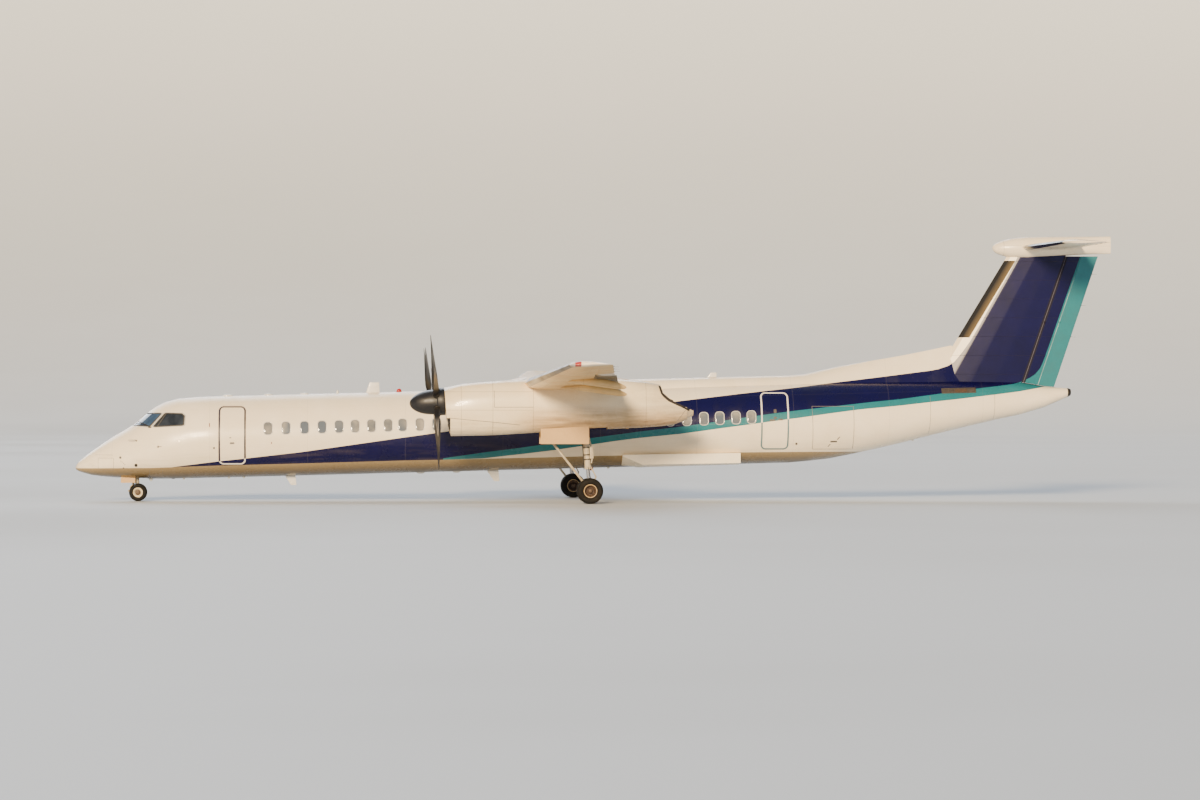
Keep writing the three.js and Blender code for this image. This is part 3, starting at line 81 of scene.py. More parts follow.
class Value:
    """A number that nodes work out. Of two masks, & is where both are 1 and | where either is."""

    def __init__(self, shader, socket):
        self.shader = shader
        self.socket = socket

    __add__ = sum_by("ADD")
    __sub__ = sum_by("SUBTRACT")
    __mul__ = __and__ = sum_by("MULTIPLY")
    __truediv__ = sum_by("DIVIDE")
    __pow__ = sum_by("POWER")
    __or__ = sum_by("MAXIMUM")
    __abs__ = sum_by("ABSOLUTE")
    __lt__ = sum_by("LESS_THAN")
    __gt__ = sum_by("GREATER_THAN")
    scaled = sum_by("MULTIPLY_ADD")
    folded = sum_by("PINGPONG")

    def __rsub__(self, other):
        return self.shader.out("ShaderNodeMath", other, self, operation="SUBTRACT")

    def within(self, low, high):
        return (self > low) & (self < high)

    def line(self, place, half):
        """1 within half a line's width of a place."""
        return abs(self - place) < half

    def lines(self, start, pitch, half):
        """1 on evenly spaced lines."""
        return (self - start).folded(pitch / 2) < half

    def spread(self, low, high, to_low=0.0, to_high=1.0):
        return self.shader.out("ShaderNodeMapRange", self, low, high, to_low, to_high)

    def mix(self, first, second):
        """The first colour where this mask is 0, the second where it is 1."""
        made = self.shader.node("ShaderNodeMix", self, data_type="RGBA")
        self.shader.put(made.inputs[6], first)
        self.shader.put(made.inputs[7], second)
        return made.outputs[2]

    def curve(self, points, high=9.0):
        """The height, up to a highest, that a table of (place, height) pairs gives at a place."""
        start, end = points[0][0], points[-1][0]
        made = self.shader.node("ShaderNodeFloatCurve", None, self.spread(start, end))
        line = made.mapping.curves[0]
        scaled = [((place - start) / (end - start), height / high) for place, height in points]
        line.points[0].location = scaled[0]
        line.points[-1].location = scaled[-1]
        for place, height in scaled[1:-1]:
            line.points.new(place, height)
        for point in line.points:
            point.handle_type = "VECTOR"
        made.mapping.update()
        return Value(self.shader, made.outputs[0]).spread(0.0, 1.0, 0.0, high)


class Shader:
    """A node material, painted in layers from its first colour up."""

    def __init__(self, name):
        self.material = bpy.data.materials.new(name)
        self.material.use_nodes = True
        self.tree = self.material.node_tree
        self.surface = self.tree.nodes["Principled BSDF"].inputs
        given = self.tree.nodes.new("ShaderNodeTexCoord").outputs
        self.place, self.facing = given["Object"], given["Normal"]
        self.x, self.y, self.z = self.split(self.place)

    @property
    def station(self):
        return self.x - NOSE

    def put(self, socket, value):
        if isinstance(value, Value):
            value = value.socket
        if isinstance(value, bpy.types.NodeSocket):
            self.tree.links.new(value, socket)
        else:
            socket.default_value = rgb(value) if socket.type == "RGBA" else value

    def node(self, kind, *inputs, **settings):
        made = self.tree.nodes.new(kind)
        for name, value in settings.items():
            setattr(made, name, value)
        for socket, value in zip(made.inputs, inputs):
            if value is not None:
                self.put(socket, value)
        return made

    def out(self, kind, *inputs, **settings):
        return Value(self, self.node(kind, *inputs, **settings).outputs[0])

    def split(self, vector):
        return [Value(self, part) for part in self.node("ShaderNodeSeparateXYZ", vector).outputs]

    def noise(self, scale, detail=3.0, roughness=0.5, stretch=None):
        place = self.place
        if stretch:
            place = self.out("ShaderNodeVectorMath", place, stretch, operation="MULTIPLY")
        made = self.node("ShaderNodeTexNoise", place)
        for name, value in (("Scale", scale), ("Detail", detail), ("Roughness", roughness)):
            made.inputs[name].default_value = value
        return Value(self, made.outputs[0])

    def dirt(self, scale=1.5):
        return self.noise(scale, 6.0, 0.6).spread(0.35, 0.75)

    def lay(self, mask, colour):
        self.colour = mask.mix(self.colour, colour)

    def finish(self, roughness, mask, bump, height=None, coat=0.0, metallic=0.0, shine=None):
        """The layers' colour, roughness from (low, high) over a mask, and bump of a height."""
        surface = self.surface
        self.put(surface["Base Color"], self.colour)
        self.put(surface["Roughness"], mask.spread(0.25, 0.75, *roughness))
        surface["Metallic"].default_value = metallic
        if coat:
            surface["Coat Weight"].default_value = coat
            surface["Coat Roughness"].default_value = 0.08
        if shine:
            surface["Specular IOR Level"].default_value = shine
        made = self.node("ShaderNodeBump")
        made.inputs["Strength"].default_value = 1.0
        made.inputs["Distance"].default_value = bump
        self.put(made.inputs["Height"], height or self.noise(40.0, 4.0))
        self.put(surface["Normal"], made.outputs[0])
        return self.material


WHITE, WHITE_SHADE = 0xfaebd0, 0xf1e0c1
CREAM = 0xf0c884
# Belly grey, and a darker brown painted as shade towards the keel
BELLY_LIGHT, BELLY_PAINTED_SHADE = 0xa08a64, 0x4c3e26
BLUE, BLUE_SHADE = 0x0c083e, 0x090632
TEAL, TEAL_SHADE = 0x26767e, 0x206870
BOOT_BLACK = 0x1e1d1e
BOOT_BROWN, BOOT_BROWN_SHADE = 0x705e48, 0x5e4e3a
LINE_GREY = 0x78736a

# Livery edges on the hull: pairs of station and height, or on the fin of height and station
BELLY_EDGE = (
    (-0.5, 1.03), (0.2, 1.04), (2.4, 1.055), (4.5, 1.13), (7.0, 1.19), (10.2, 1.28), (11.7, 1.31),
    (15.2, 1.39), (16.4, 1.42), (20.8, 1.53), (22.7, 1.545), (33.0, 1.55))
BLUE_TOP = (
    (2.6, 0.9), (3.016, 1.076), (4.544, 1.268), (5.353, 1.354), (7.034, 1.545), (8.279, 1.722),
    (10.149, 1.99), (11.398, 2.163), (18.947, 3.145), (20.859, 3.374), (21.82, 3.479), (22.785, 3.585),
    (23.774, 3.715), (24.449, 3.795), (25.423, 3.913), (26.064, 3.995), (27.026, 4.118), (27.4, 4.19),
    (27.5, 9.0), (33.0, 9.0))
FIN_EDGE = (
    (0.0, 0.0), (3.95, 0.0), (4.03, 25.6), (4.121, 27.026), (4.19, 27.34), (4.27, 27.59), (4.40, 27.79),
    (4.72, 28.05), (5.04, 28.28), (5.57, 28.60), (6.42, 29.075), (7.0, 29.42), (7.64, 29.77), (9.0, 30.5))
FIN_HIGHEST = 34.0
TEAL_TOP = (
    (11.35, 0.5), (11.46, 1.34), (12.749, 1.53), (14.03, 1.696), (14.593, 1.777), (17.665, 2.19),
    (18.923, 2.335), (20.184, 2.51), (21.132, 2.65), (21.765, 2.738), (22.717, 2.86), (23.671, 2.965),
    (24.955, 3.11), (25.924, 3.205), (27.23, 3.38), (28.549, 3.555), (29.274, 3.64), (29.66, 3.692),
    (29.917, 3.756), (30.207, 3.884), (30.4, 4.011), (30.561, 4.203), (30.674, 4.458), (32.0, 8.2))
TEAL_FOOT = (
    (11.35, 0.5), (11.46, 1.30), (12.755, 1.345), (14.036, 1.49), (14.975, 1.605), (16.883, 1.89),
    (17.668, 1.99), (18.925, 2.115), (19.554, 2.195), (20.183, 2.285), (21.129, 2.41), (21.761, 2.5),
    (22.71, 2.62), (23.663, 2.755), (24.624, 2.88), (25.912, 3.0), (26.888, 3.11), (27.867, 3.215),
    (29.18, 3.37), (29.841, 3.455), (30.654, 3.6), (33.0, 3.9))
TEAL_START = 11.46
TAILCONE_START = 31.42


def livery(s):
    """Paint of the hull and fin by place, with painted shade that darkens the belly towards the keel. Gives
    the masks of the dark field and of the dirt.
    """
    station, height = s.station, s.z
    dirt = s.dirt(1.3)
    white = dirt.mix(WHITE, WHITE_SHADE)
    blue = (height < station.curve(BLUE_TOP)) & (station > height.curve(FIN_EDGE, FIN_HIGHEST))
    aft = station > TEAL_START
    low = aft & (height < station.curve(TEAL_FOOT))
    depth = station.curve(BELLY_EDGE) - height
    belly = depth > 0.0
    s.colour = white
    s.lay(blue, dirt.mix(BLUE, BLUE_SHADE))
    s.lay(aft & (height < station.curve(TEAL_TOP)), dirt.mix(TEAL, TEAL_SHADE))
    s.lay(low, white)
    fine = s.noise(14.0, 4.0, 0.6).spread(0.3, 0.7) * 0.2
    # Belly: grey paint, darkened towards the keel as painted shade
    s.lay(belly, fine.mix(depth.spread(0.02, 0.36).mix(BELLY_LIGHT, BELLY_PAINTED_SHADE), 0x544a3a))
    return blue & (1.0 - low) & (1.0 - belly), dirt


def hull_paint():
    """The livery with panel joints, grime, the black tail cone and the lining of the doorway."""
    s = Shader("hull_paint")
    dirt = livery(s)[1]
    station, height = s.station, s.z
    rings = station.lines(1.17, 3.05, 0.005)
    laps = (height - station * LEAN).lines(1.05, 0.86, 0.003)
    joints = (rings | laps * 0.5) * 0.22
    s.lay(joints, LINE_GREY)
    streak = s.noise(1.0, 5.0, 0.6, (0.5, 3.0, 6.0))
    s.lay(streak.spread(0.5, 0.8) & height.spread(2.1, 0.9, 0.0, 0.4), 0x7e725e)
    s.lay(station > TAILCONE_START, 0x242120)
    level = abs(s.y / 1.29) ** 2.0 + abs((height - 1.98) / 1.29) ** 2.0
    s.lay(station.within(4.47, 5.4) & (height > 1.17) & (level < 0.94), 0x96928a)
    frames = station.lines(1.17, 0.508, 0.012)
    bumps = s.noise(1.6, 2.0) - (joints | frames * 0.06)
    return s.finish((0.24, 0.38), dirt, 0.004, bumps, coat=0.06, shine=0.32)


def fin_paint():
    """The livery with a boot on the leading edge, darkened towards its front as painted shade, faint ribs, and
    the rudder's hinge with painted shade in its gap.
    """
    s = Shader("fin_paint")
    dirt = livery(s)[1]
    station, height = s.station, s.z
    behind = station - (height - 5.157).scaled(0.608, 27.91)
    boot = (behind < 0.35) & height.within(5.17, 7.62)
    # Boot: olive rubber that darkens to black towards the leading edge as painted shade
    s.lay(boot, behind.spread(0.32, 0.12).mix(dirt.mix(0x685638, 0x584a32), BOOT_BLACK))
    ribs = height.lines(5.2, 0.6, 0.003)
    s.lay(ribs * 0.12, LINE_GREY)
    hinge = (height - 3.79).scaled(0.3444, 30.02)
    # Painted shade: a dark band along the gap between fin and rudder at the hinge
    nose = abs(station - hinge).spread(0.075, 0.055)
    s.lay(nose, 0x141122)
    s.lay(station.line(hinge, 0.008) * 0.3, 0x9690a0)
    matt = boot | nose | dirt * 0.3
    return s.finish((0.3, 0.72), matt, 0.004, s.noise(1.6, 2.0) - ribs, shine=0.32)


def plain_paint(name, colour, shade, roughness=(0.24, 0.4), bump=0.003, coat=0.0, scale=1.3):
    s = Shader(name)
    dirt = s.dirt(scale)
    s.colour = dirt.mix(colour, shade)
    return s.finish(roughness, dirt, bump, s.noise(scale * 3, 4.0), coat)


WING_BREAK, WING_TIP = 5.08, 13.96
WING_LEAD, TIP_LEAD = 13.88, 14.712
WING_CHORD, TIP_CHORD = 2.78, 1.238
WING_SWEEP = (TIP_LEAD - WING_LEAD) / (WING_TIP - WING_BREAK)
CHORD_FALL = (WING_CHORD - TIP_CHORD) / (WING_TIP - WING_BREAK)


def wing_paint():
    """Cream, with a rubber boot along the leading edge and a pale tip with its lamp."""
    s = Shader("wing_paint")
    station, span = s.station, abs(s.y)
    out = span - WING_BREAK | 0.0
    behind = station - out.scaled(WING_SWEEP, WING_LEAD)
    share = behind / (WING_CHORD - out * CHORD_FALL)
    dirt = s.dirt()
    s.colour = dirt.mix(CREAM, 0xe0b472)
    streak = s.noise(1.0, 5.0, 0.6, (0.6, 5.0, 1.0))
    s.lay(streak.spread(0.5, 0.85, 0.0, 0.5), 0x98866a)
    spars = share.line(0.17, 0.002) | share.line(0.56, 0.002)
    joints = (spars | span.lines(5.6, 1.35, 0.004)) * 0.4
    s.lay(joints, LINE_GREY)
    tip = span > 13.975
    s.lay(tip, dirt.mix(WHITE, WHITE_SHADE))
    s.lay(tip & (station < 15.04), (s.y < 0.0).mix(0x188046, 0xb2241a))
    s.lay(tip & (station < 14.865), 0xcec6ba)
    boot = (behind < 0.13) & (span.within(1.5, 3.6) | span.within(5.3, 13.86))
    s.lay(boot, dirt.mix(BOOT_BROWN, BOOT_BROWN_SHADE))
    return s.finish((0.3, 0.46), dirt, 0.003, s.noise(2.2, 2.0) - joints, coat=0.2)


def flap_paint():
    """White above, and darker grey below as painted shade on the underside."""
    s = Shader("flap_paint")
    dirt = s.dirt()
    s.colour = dirt.mix(0xe8e2d4, 0xd8d0c0)
    # Underside darkened as painted shade
    s.lay(s.split(s.facing)[2] < -0.3, dirt.mix(0x605a4c, 0x423e34))
    return s.finish((0.3, 0.5), dirt, 0.003, s.noise(4.5, 4.0))


def tail_paint():
    """White tailplane and elevators with a dark boot along the leading edge."""
    s = Shader("tail_paint")
    span = abs(s.y)
    behind = s.station - span.scaled(0.094, 30.05)
    dirt = s.dirt()
    s.colour = dirt.mix(WHITE, WHITE_SHADE)
    joints = span.lines(0.6, 0.95, 0.004) * 0.35
    s.lay(joints, LINE_GREY)
    s.lay((behind < 0.11) & span.within(0.5, 4.45), BOOT_BLACK)
    return s.finish((0.26, 0.42), dirt, 0.003, s.noise(2.2, 2.0) - joints, coat=0.3)


def bullet_paint():
    """White, with a joint behind the nose cap and a lap along the side."""
    s = Shader("bullet_paint")
    dirt = s.dirt()
    s.colour = dirt.mix(WHITE, WHITE_SHADE)
    cap = 29.37
    joints = (s.station.line(cap, 0.007) | s.z.line(8.09, 0.004) & (s.station > cap)) * 0.4
    s.lay(joints, LINE_GREY)
    return s.finish((0.26, 0.42), dirt, 0.003, s.noise(2.2, 2.0) - joints, coat=0.1)


def nacelle_paint():
    """Cream cowls with panel joints, oily streaks, soot towards the jet pipe, and painted shade in the chin
    intake's mouth.
    """
    s = Shader("nacelle_paint")
    station, z = s.station, s.z
    dirt = s.dirt()
    s.colour = dirt.mix(0xf7e4c0, 0xecd4aa)
    s.lay(z.spread(3.0, 2.4) & station.spread(13.2, 14.6, 0.0, 0.7), 0xd8ac6e)
    cowls_end = 14.139
    lips, firewall, cowls, tail = [station.line(at, 0.006) for at in (11.952, 12.908, cowls_end, 17.581)]
    side, crown = [z.line(at, 0.005) & (station < cowls_end) for at in (2.86, 3.42)]
    joints = (lips | firewall | cowls | tail | side | crown) * 0.55
    s.lay(joints, 0x706250)
    streak = s.noise(1.0, 6.0, 0.65, (0.5, 4.0, 6.0))
    low = station.spread(13.5, 14.9) & z.spread(3.05, 2.5)
    s.lay(streak.spread(0.34, 0.66, 0.05, 0.85) & low, 0x745230)
    smoke = station.spread(16.9, 18.6) & z.spread(2.6, 3.2, 0.15, 0.75)
    s.lay(smoke & s.noise(2.0, 5.0, 0.6, (0.4, 1.0, 2.0)).spread(0.3, 0.7), 0x786854)
    oil = (station < 14.3) & z.spread(2.75, 2.2, 0.0, 0.5)
    s.lay(oil & streak.spread(0.4, 0.7), 0xa89270)
    # Painted shade: black in the mouth of the chin intake
    s.lay((station < 11.62) & (z < 2.62), 0x282625)
    return s.finish((0.26, 0.44), dirt, 0.004, s.noise(2.2, 2.0) - joints, coat=0.25)


def glazing(name, dark, light):
    s = Shader(name)
    haze = s.noise(3.0, 4.0).spread(0.3, 0.8)
    s.colour = haze.mix(dark, light)
    return s.finish((0.04, 0.12), haze, 0.0006, coat=0.6)


def pane_paint():
    """Cabin windows, some with a paler blind behind the glass."""
    s = Shader("cabin_pane")
    haze = s.noise(2.3, 3.0).spread(0.35, 0.7)
    s.colour = haze.mix(0x686a6c, 0xa09a8e)
    s.lay(s.noise(0.9, 1.0).spread(0.45, 0.55), 0x606872)
    return s.finish((0.06, 0.16), haze, 0.0005, coat=0.5)


def edge_paint():
    """Edges of the doors, with a pale line where they cross the dark fields."""
    s = Shader("door_edge")
    dark, dirt = livery(s)
    pale = dark | (s.station < 6.0) & (s.z < s.station.curve(BELLY_EDGE))
    s.colour = (s.z < s.station.curve(TEAL_TOP)).mix(0x2c263c, 0x587680)
    s.lay(pale, 0xe8e2d6)
    return s.finish((0.35, 0.5), dirt, 0.001)


def rubber_paint():
    s = Shader("tyre_rubber")
    wear = s.noise(11.0, 6.0, 0.6).spread(0.35, 0.7)
    s.colour = wear.mix(0x131211, 0x1d1b19)
    s.lay(s.noise(3.0, 5.0).spread(0.55, 0.85, 0.0, 0.3), 0x383127)
    return s.finish((0.72, 0.95), wear, 0.0015, shine=0.22)


def metal(name, colour, shade, roughness, metallic=0.9, scale=9.0):
    s = Shader(name)
    wear = s.noise(scale, 5.0, 0.6).spread(0.3, 0.75)
    s.colour = wear.mix(colour, shade)
    return s.finish(roughness, wear, 0.0012, metallic=metallic)


def mark(name, colour, shade, roughness=(0.4, 0.6), scale=12.0):
    return plain_paint(name, colour, shade, roughness, scale=scale)


HULL, FIN, WING, TAIL, COWL = hull_paint(), fin_paint(), wing_paint(), tail_paint(), nacelle_paint()
FLAP, BULLET, PANE, EDGE, RUBBER = flap_paint(), bullet_paint(), pane_paint(), edge_paint(), rubber_paint()
RUDDER = plain_paint("rudder_teal", TEAL, TEAL_SHADE, (0.32, 0.5))
DOOR_CREAM = plain_paint("door_cream", 0xd0aa74, 0xc09864)
# Belly fairing white, made brighter as painted light because its side faces lean down and catch less light
FAIRING_PAINTED_LIGHT = plain_paint("fairing_white_painted_light", 0xfdf1d8, 0xf6e6c8, coat=0.1, scale=0.9)
GLASS = glazing("windscreen_glass", 0x243650, 0x486280)
SIDE_GLASS = glazing("side_glass", 0x181c22, 0x3a4048)
CABIN = mark("cabin_plastic", 0x424246, 0x303034, (0.6, 0.85), 6.0)
# Gear cream, darkened to a tan as painted shade for legs under the nacelles
GEAR_PAINTED_SHADE = plain_paint("gear_cream_painted_shade", 0xc6b89c, 0x8a7a60, (0.35, 0.6), coat=0.3, scale=5.0)
BLACK = plain_paint("propeller_black", 0x1b1a1c, 0x201f21, (0.36, 0.5), 0.001, scale=3.0)
RIM_CREAM = plain_paint("rim_cream", 0xded0b0, 0xaa9876, (0.35, 0.6), coat=0.3, scale=14.0)
RIM_BRONZE = plain_paint("rim_bronze", 0xbaa074, 0x88704e, (0.35, 0.6), coat=0.3, scale=14.0)
SURROUND = plain_paint("window_surround", 0xcecbc4, 0xbab6ae, coat=0.3, scale=6.0)
ANTENNA = plain_paint("antenna_white", 0xe8e5de, 0xcecac2, coat=0.3, scale=9.0)
LAMP = plain_paint("lamp_lens", 0xecece6, 0xcececc, (0.05, 0.15), coat=0.6, scale=9.0)
BEACON = plain_paint("beacon_red", 0xb01e18, 0x8c1412, (0.05, 0.15), coat=0.8, scale=9.0)
SEAL = mark("window_seal", 0x464442, 0x302e2d, (0.55, 0.75))
MARK_GREY = mark("mark_grey", 0x807a72, 0x68625c)
MARK_DARK = mark("mark_dark", 0x5c524a, 0x423c38)
MARK_BLACK = mark("mark_black", 0x221f1e, 0x161515, (0.45, 0.65))
MARK_RED = mark("mark_red", 0x78261e, 0x601c18)
HOT_BLACK = mark("exhaust_black", 0x1e1b1a, 0x342c26, (0.5, 0.8), 9.0)
WICK = mark("static_wick", 0x34302e, 0x1e1c1c, (0.5, 0.7), 20.0)
GEAR_DARK = mark("gear_dark", 0x3a342e, 0x24211e, (0.45, 0.7), 14.0)
HOSE = mark("hydraulic_hose", 0x22201f, 0x161515, scale=30.0)
DARK_METAL = metal("dark_metal", 0x423c38, 0x282422, (0.4, 0.65))
CHROME = metal("polished_piston", 0xc8c8ca, 0xa0a0a4, (0.12, 0.25))
BRONZE = metal("hub_bronze", 0x624e3c, 0x42342a, (0.45, 0.65), 0.25, 22.0)
BRONZE_DARK = metal("rim_dark_bronze", 0x4e382c, 0x2e221c, (0.5, 0.7), 0.15, 18.0)
BRAKE_DARK = metal("brake_dark", 0x3a3632, 0x1e1c1b, (0.5, 0.75), 0.6, 22.0)
PROBE = metal("probe_metal", 0x969086, 0x605c56, (0.25, 0.45), scale=30.0)
DUCT = metal("duct_metal", 0x786e62, 0x4a423c, (0.35, 0.6), 0.7)

# Finishes of the solids, by name without its side; the rest are tyres and rims
CAD_FINISH = (
    (HULL, "fuselage radome airstair_door aft_passenger_door dorsal_spine"),
    (FAIRING_PAINTED_LIGHT, "belly_fairing"), (FIN, "fin fore_rudder"), (RUDDER, "rear_rudder"),
    (BULLET, "bullet_fairing"), (TAIL, "tailplane elevator"), (WING, "wing_centre wing aileron"),
    (FLAP, "inner_flap flap"), (COWL, "cowling nacelle"), (DARK_METAL, "engine jet_pipe"),
    (GLASS, "windshield"), (SIDE_GLASS, "side_window"), (CABIN, "flight_deck"),
    (DOOR_CREAM, "main_gear_doors nose_gear_doors"), (GEAR_PAINTED_SHADE, "main_leg nose_leg nose_fork"),
    (BLACK, "spinner propeller"),
)
finishes = {name: finish for finish, names in CAD_FINISH for name in names.split()}
for name, node in NODES.items():
    node.data.materials.clear()
    bare = name.removesuffix("_left").removesuffix("_right")
    node.data.materials.append(finishes.get(bare, RUBBER))


# Smooth shading of the solids: their corners are rounded by eye, not moved

# Columns, in millimetres: station, half width, crown, keel, widest height
HULL_ROWS = (
    (0, 22, 1068, 1022, 1045), (30, 100, 1140, 985, 1047), (100, 190, 1240, 945, 1052),
    (250, 320, 1370, 895, 1067), (500, 480, 1565, 828, 1105), (800, 632, 1775, 786, 1155),
    (1200, 795, 2045, 752, 1225), (1600, 925, 2275, 728, 1315), (1850, 995, 2435, 714, 1385),
    (2200, 1080, 2745, 706, 1490), (2500, 1145, 2965, 704, 1575), (2800, 1195, 3110, 706, 1660),
    (3200, 1250, 3220, 712, 1755), (3700, 1300, 3268, 722, 1850), (4300, 1333, 3296, 735, 1930),
    (5000, 1345, 3312, 749, 1967), (13600, 1345, 3530.4, 967.4, 2185.4),
    (22500, 1345, 3756.5, 1193.5, 2411.5), (23100, 1342, 3769, 1245, 2430), (23800, 1325, 3780, 1325, 2465),
    (24500, 1280, 3790, 1462, 2515), (25300, 1205, 3798, 1635, 2585), (26100, 1105, 3802, 1822, 2670),
    (27100, 955, 3803, 2075, 2790), (28100, 800, 3800, 2315, 2910), (29100, 640, 3785, 2550, 3040),
    (29900, 510, 3755, 2718, 3140), (30660, 375, 3612, 2942, 3250), (31100, 290, 3580, 3128, 3345),
    (31460, 210, 3562, 3285, 3420), (31530, 160, 3535, 3325, 3428))
# The same, and the power of each quarter's curve
NACELLE_ROWS = (
    (11400, 515, 3480, 2080, 2790, 2.3), (11620, 575, 3565, 2068, 2800, 2.4),
    (11990, 620, 3660, 2075, 2820, 2.5), (12600, 650, 3715, 2086, 2850, 2.6),
    (13150, 660, 3757, 2105, 2870, 2.6), (14060, 665, 3806, 2160, 2900, 2.6),
    (15800, 660, 3815, 2250, 2950, 2.6), (16800, 640, 3810, 2296, 2980, 2.5),
    (17500, 590, 3745, 2330, 2990, 2.4), (18100, 520, 3630, 2372, 2980, 2.3),
    (18500, 435, 3500, 2432, 2950, 2.2), (18850, 305, 3250, 2562, 2880, 2.1),
    (19060, 130, 3000, 2700, 2820, 2.0))
NACELLE_Y = 4.41
ELLIPSE = 2.0


def spot(station, y, z):
    return Vector((station + NOSE, y, z))


class Loft:
    """A long body by rows of sections, asked for its skin and its outward direction."""

    def __init__(self, rows, middle=0.0):
        table = np.array([(*row, ELLIPSE)[:6] for row in rows], float)
        table[:, :5] /= 1000
        self.stations = table[:, 0]
        self.columns = table[:, 1:].T
        self.middle = middle

    def row(self, station):
        return [np.interp(station, self.stations, column) for column in self.columns]

    def level(self, station, y, z):
        half, crown, keel, widest, power = self.row(station)
        rise = np.where(z > widest, crown - widest, widest - keel)
        return (np.abs(y - self.middle) / half) ** power + (np.abs(z - widest) / rise) ** power

    def outward(self, points):
        """Unit directions out of the skin at points near it."""
        station, y, z = points[:, 0] - NOSE, points[:, 1], points[:, 2]
        step = np.clip(0.12 * station, 0.015, 0.25)
        ends = self.stations[0], self.stations[-1]
        ahead, back = np.clip(station + step, *ends), np.clip(station - step, *ends)
        tiny = 0.002
        slope = np.stack([
            (self.level(ahead, y, z) - self.level(back, y, z)) / (ahead - back),
            (self.level(station, y + tiny, z) - self.level(station, y - tiny, z)) / (2 * tiny),
            (self.level(station, y, z + tiny) - self.level(station, y, z - tiny)) / (2 * tiny),
        ], axis=1)
        return slope / np.maximum(np.linalg.norm(slope, axis=1, keepdims=True), 1e-9)

    def side(self, station, z, out):
        """y of the skin at a station and height, on one side."""
        half, crown, keel, widest, power = self.row(station)
        share = min(1.0, abs(z - widest) / (crown - widest if z > widest else widest - keel))
        return self.middle + out * half * (1 - share ** power) ** (1 / power)

    def point(self, station, z, out, lift=0.0):
        """A place on the skin, or lifted off it along its direction."""
        bare = np.array([[station + NOSE, self.side(station, z, out), z]])
        return Vector(bare[0] + lift * self.outward(bare)[0])

    def height(self, station, y=0.0, end="crown"):
        """Height of the skin's crown or keel side above or below a place."""
        half, crown, keel, widest, power = self.row(station)
        reach = (1 - min(1.0, abs(y - self.middle) / half) ** power) ** (1 / power)
        return widest + ((crown if end == "crown" else keel) - widest) * reach


HULL_LOFT = Loft(HULL_ROWS)
NACELLE_LOFTS = {name: Loft(NACELLE_ROWS, out * NACELLE_Y) for name, out in SIDES}
TRUE_SKINS = dict.fromkeys(("fuselage", "radome", "airstair_door", "aft_passenger_door"), HULL_LOFT)
for name, loft in NACELLE_LOFTS.items():
    TRUE_SKINS[f"cowling_{name}"] = TRUE_SKINS[f"nacelle_{name}"] = loft
FOILS = ("fin", "fore_rudder", "rear_rudder", "tailplane", "wing_left", "wing_right",
         "bullet_fairing", "dorsal_spine")
SKIN_MATCH, SOFT_CORNER, FOIL_CORNER = [cos(radians(turn)) for turn in (24, 33, 66)]
ON_SKIN = 0.05


def smooth_shading(mesh, skin, soft):
    """Corner directions averaged over faces that nearly agree, or taken from the true skin."""
    places, flat = np.empty(len(mesh.vertices) * 3), np.empty(len(mesh.polygons) * 3)
    corner = np.empty(len(mesh.loops), int)
    mesh.vertices.foreach_get("co", places)
    mesh.polygons.foreach_get("normal", flat)
    mesh.loops.foreach_get("vertex_index", corner)
    turn = np.arange(len(corner))
    first = turn // 3 * 3
    at = places.reshape(-1, 3)[corner]
    facing = flat.reshape(-1, 3)[turn // 3]
    one, two = at[first + (turn + 1) % 3] - at, at[first + (turn + 2) % 3] - at
    sizes = np.linalg.norm(one, axis=1) * np.linalg.norm(two, axis=1)
    weight = np.arccos(np.clip((one * two).sum(1) / np.maximum(sizes, 1e-12), -1, 1))
    groups = {}
    for i, key in enumerate(map(tuple, np.round(at, 4))):
        groups.setdefault(key, []).append(i)
    smooth = facing.copy()
    for members in map(np.array, groups.values()):
        agree = facing[members] @ facing[members].T > soft
        total = (agree * weight[members]) @ facing[members]
        size = np.linalg.norm(total, axis=1, keepdims=True)
        smooth[members] = np.where(size > 1e-9, total / np.maximum(size, 1e-9), facing[members])
    if skin:
        true = skin.outward(at)
        close = (true * facing).sum(1) > SKIN_MATCH
        on_skin = np.abs(skin.level(at[:, 0] - NOSE, at[:, 1], at[:, 2]) - 1) < ON_SKIN
        smooth = np.where((close & on_skin)[:, None], true, smooth)
    mesh.shade_smooth()
    mesh.normals_split_custom_set(smooth.tolist())


for name, node in NODES.items():
    smooth_shading(node.data, TRUE_SKINS.get(name), FOIL_CORNER if name in FOILS else SOFT_CORNER)


# Pieces made over the solids

def circle(steps, size=1.0):
    turns = [2 * pi * i / steps for i in range(steps)]
    return [(size * cos(t), size * sin(t)) for t in turns]


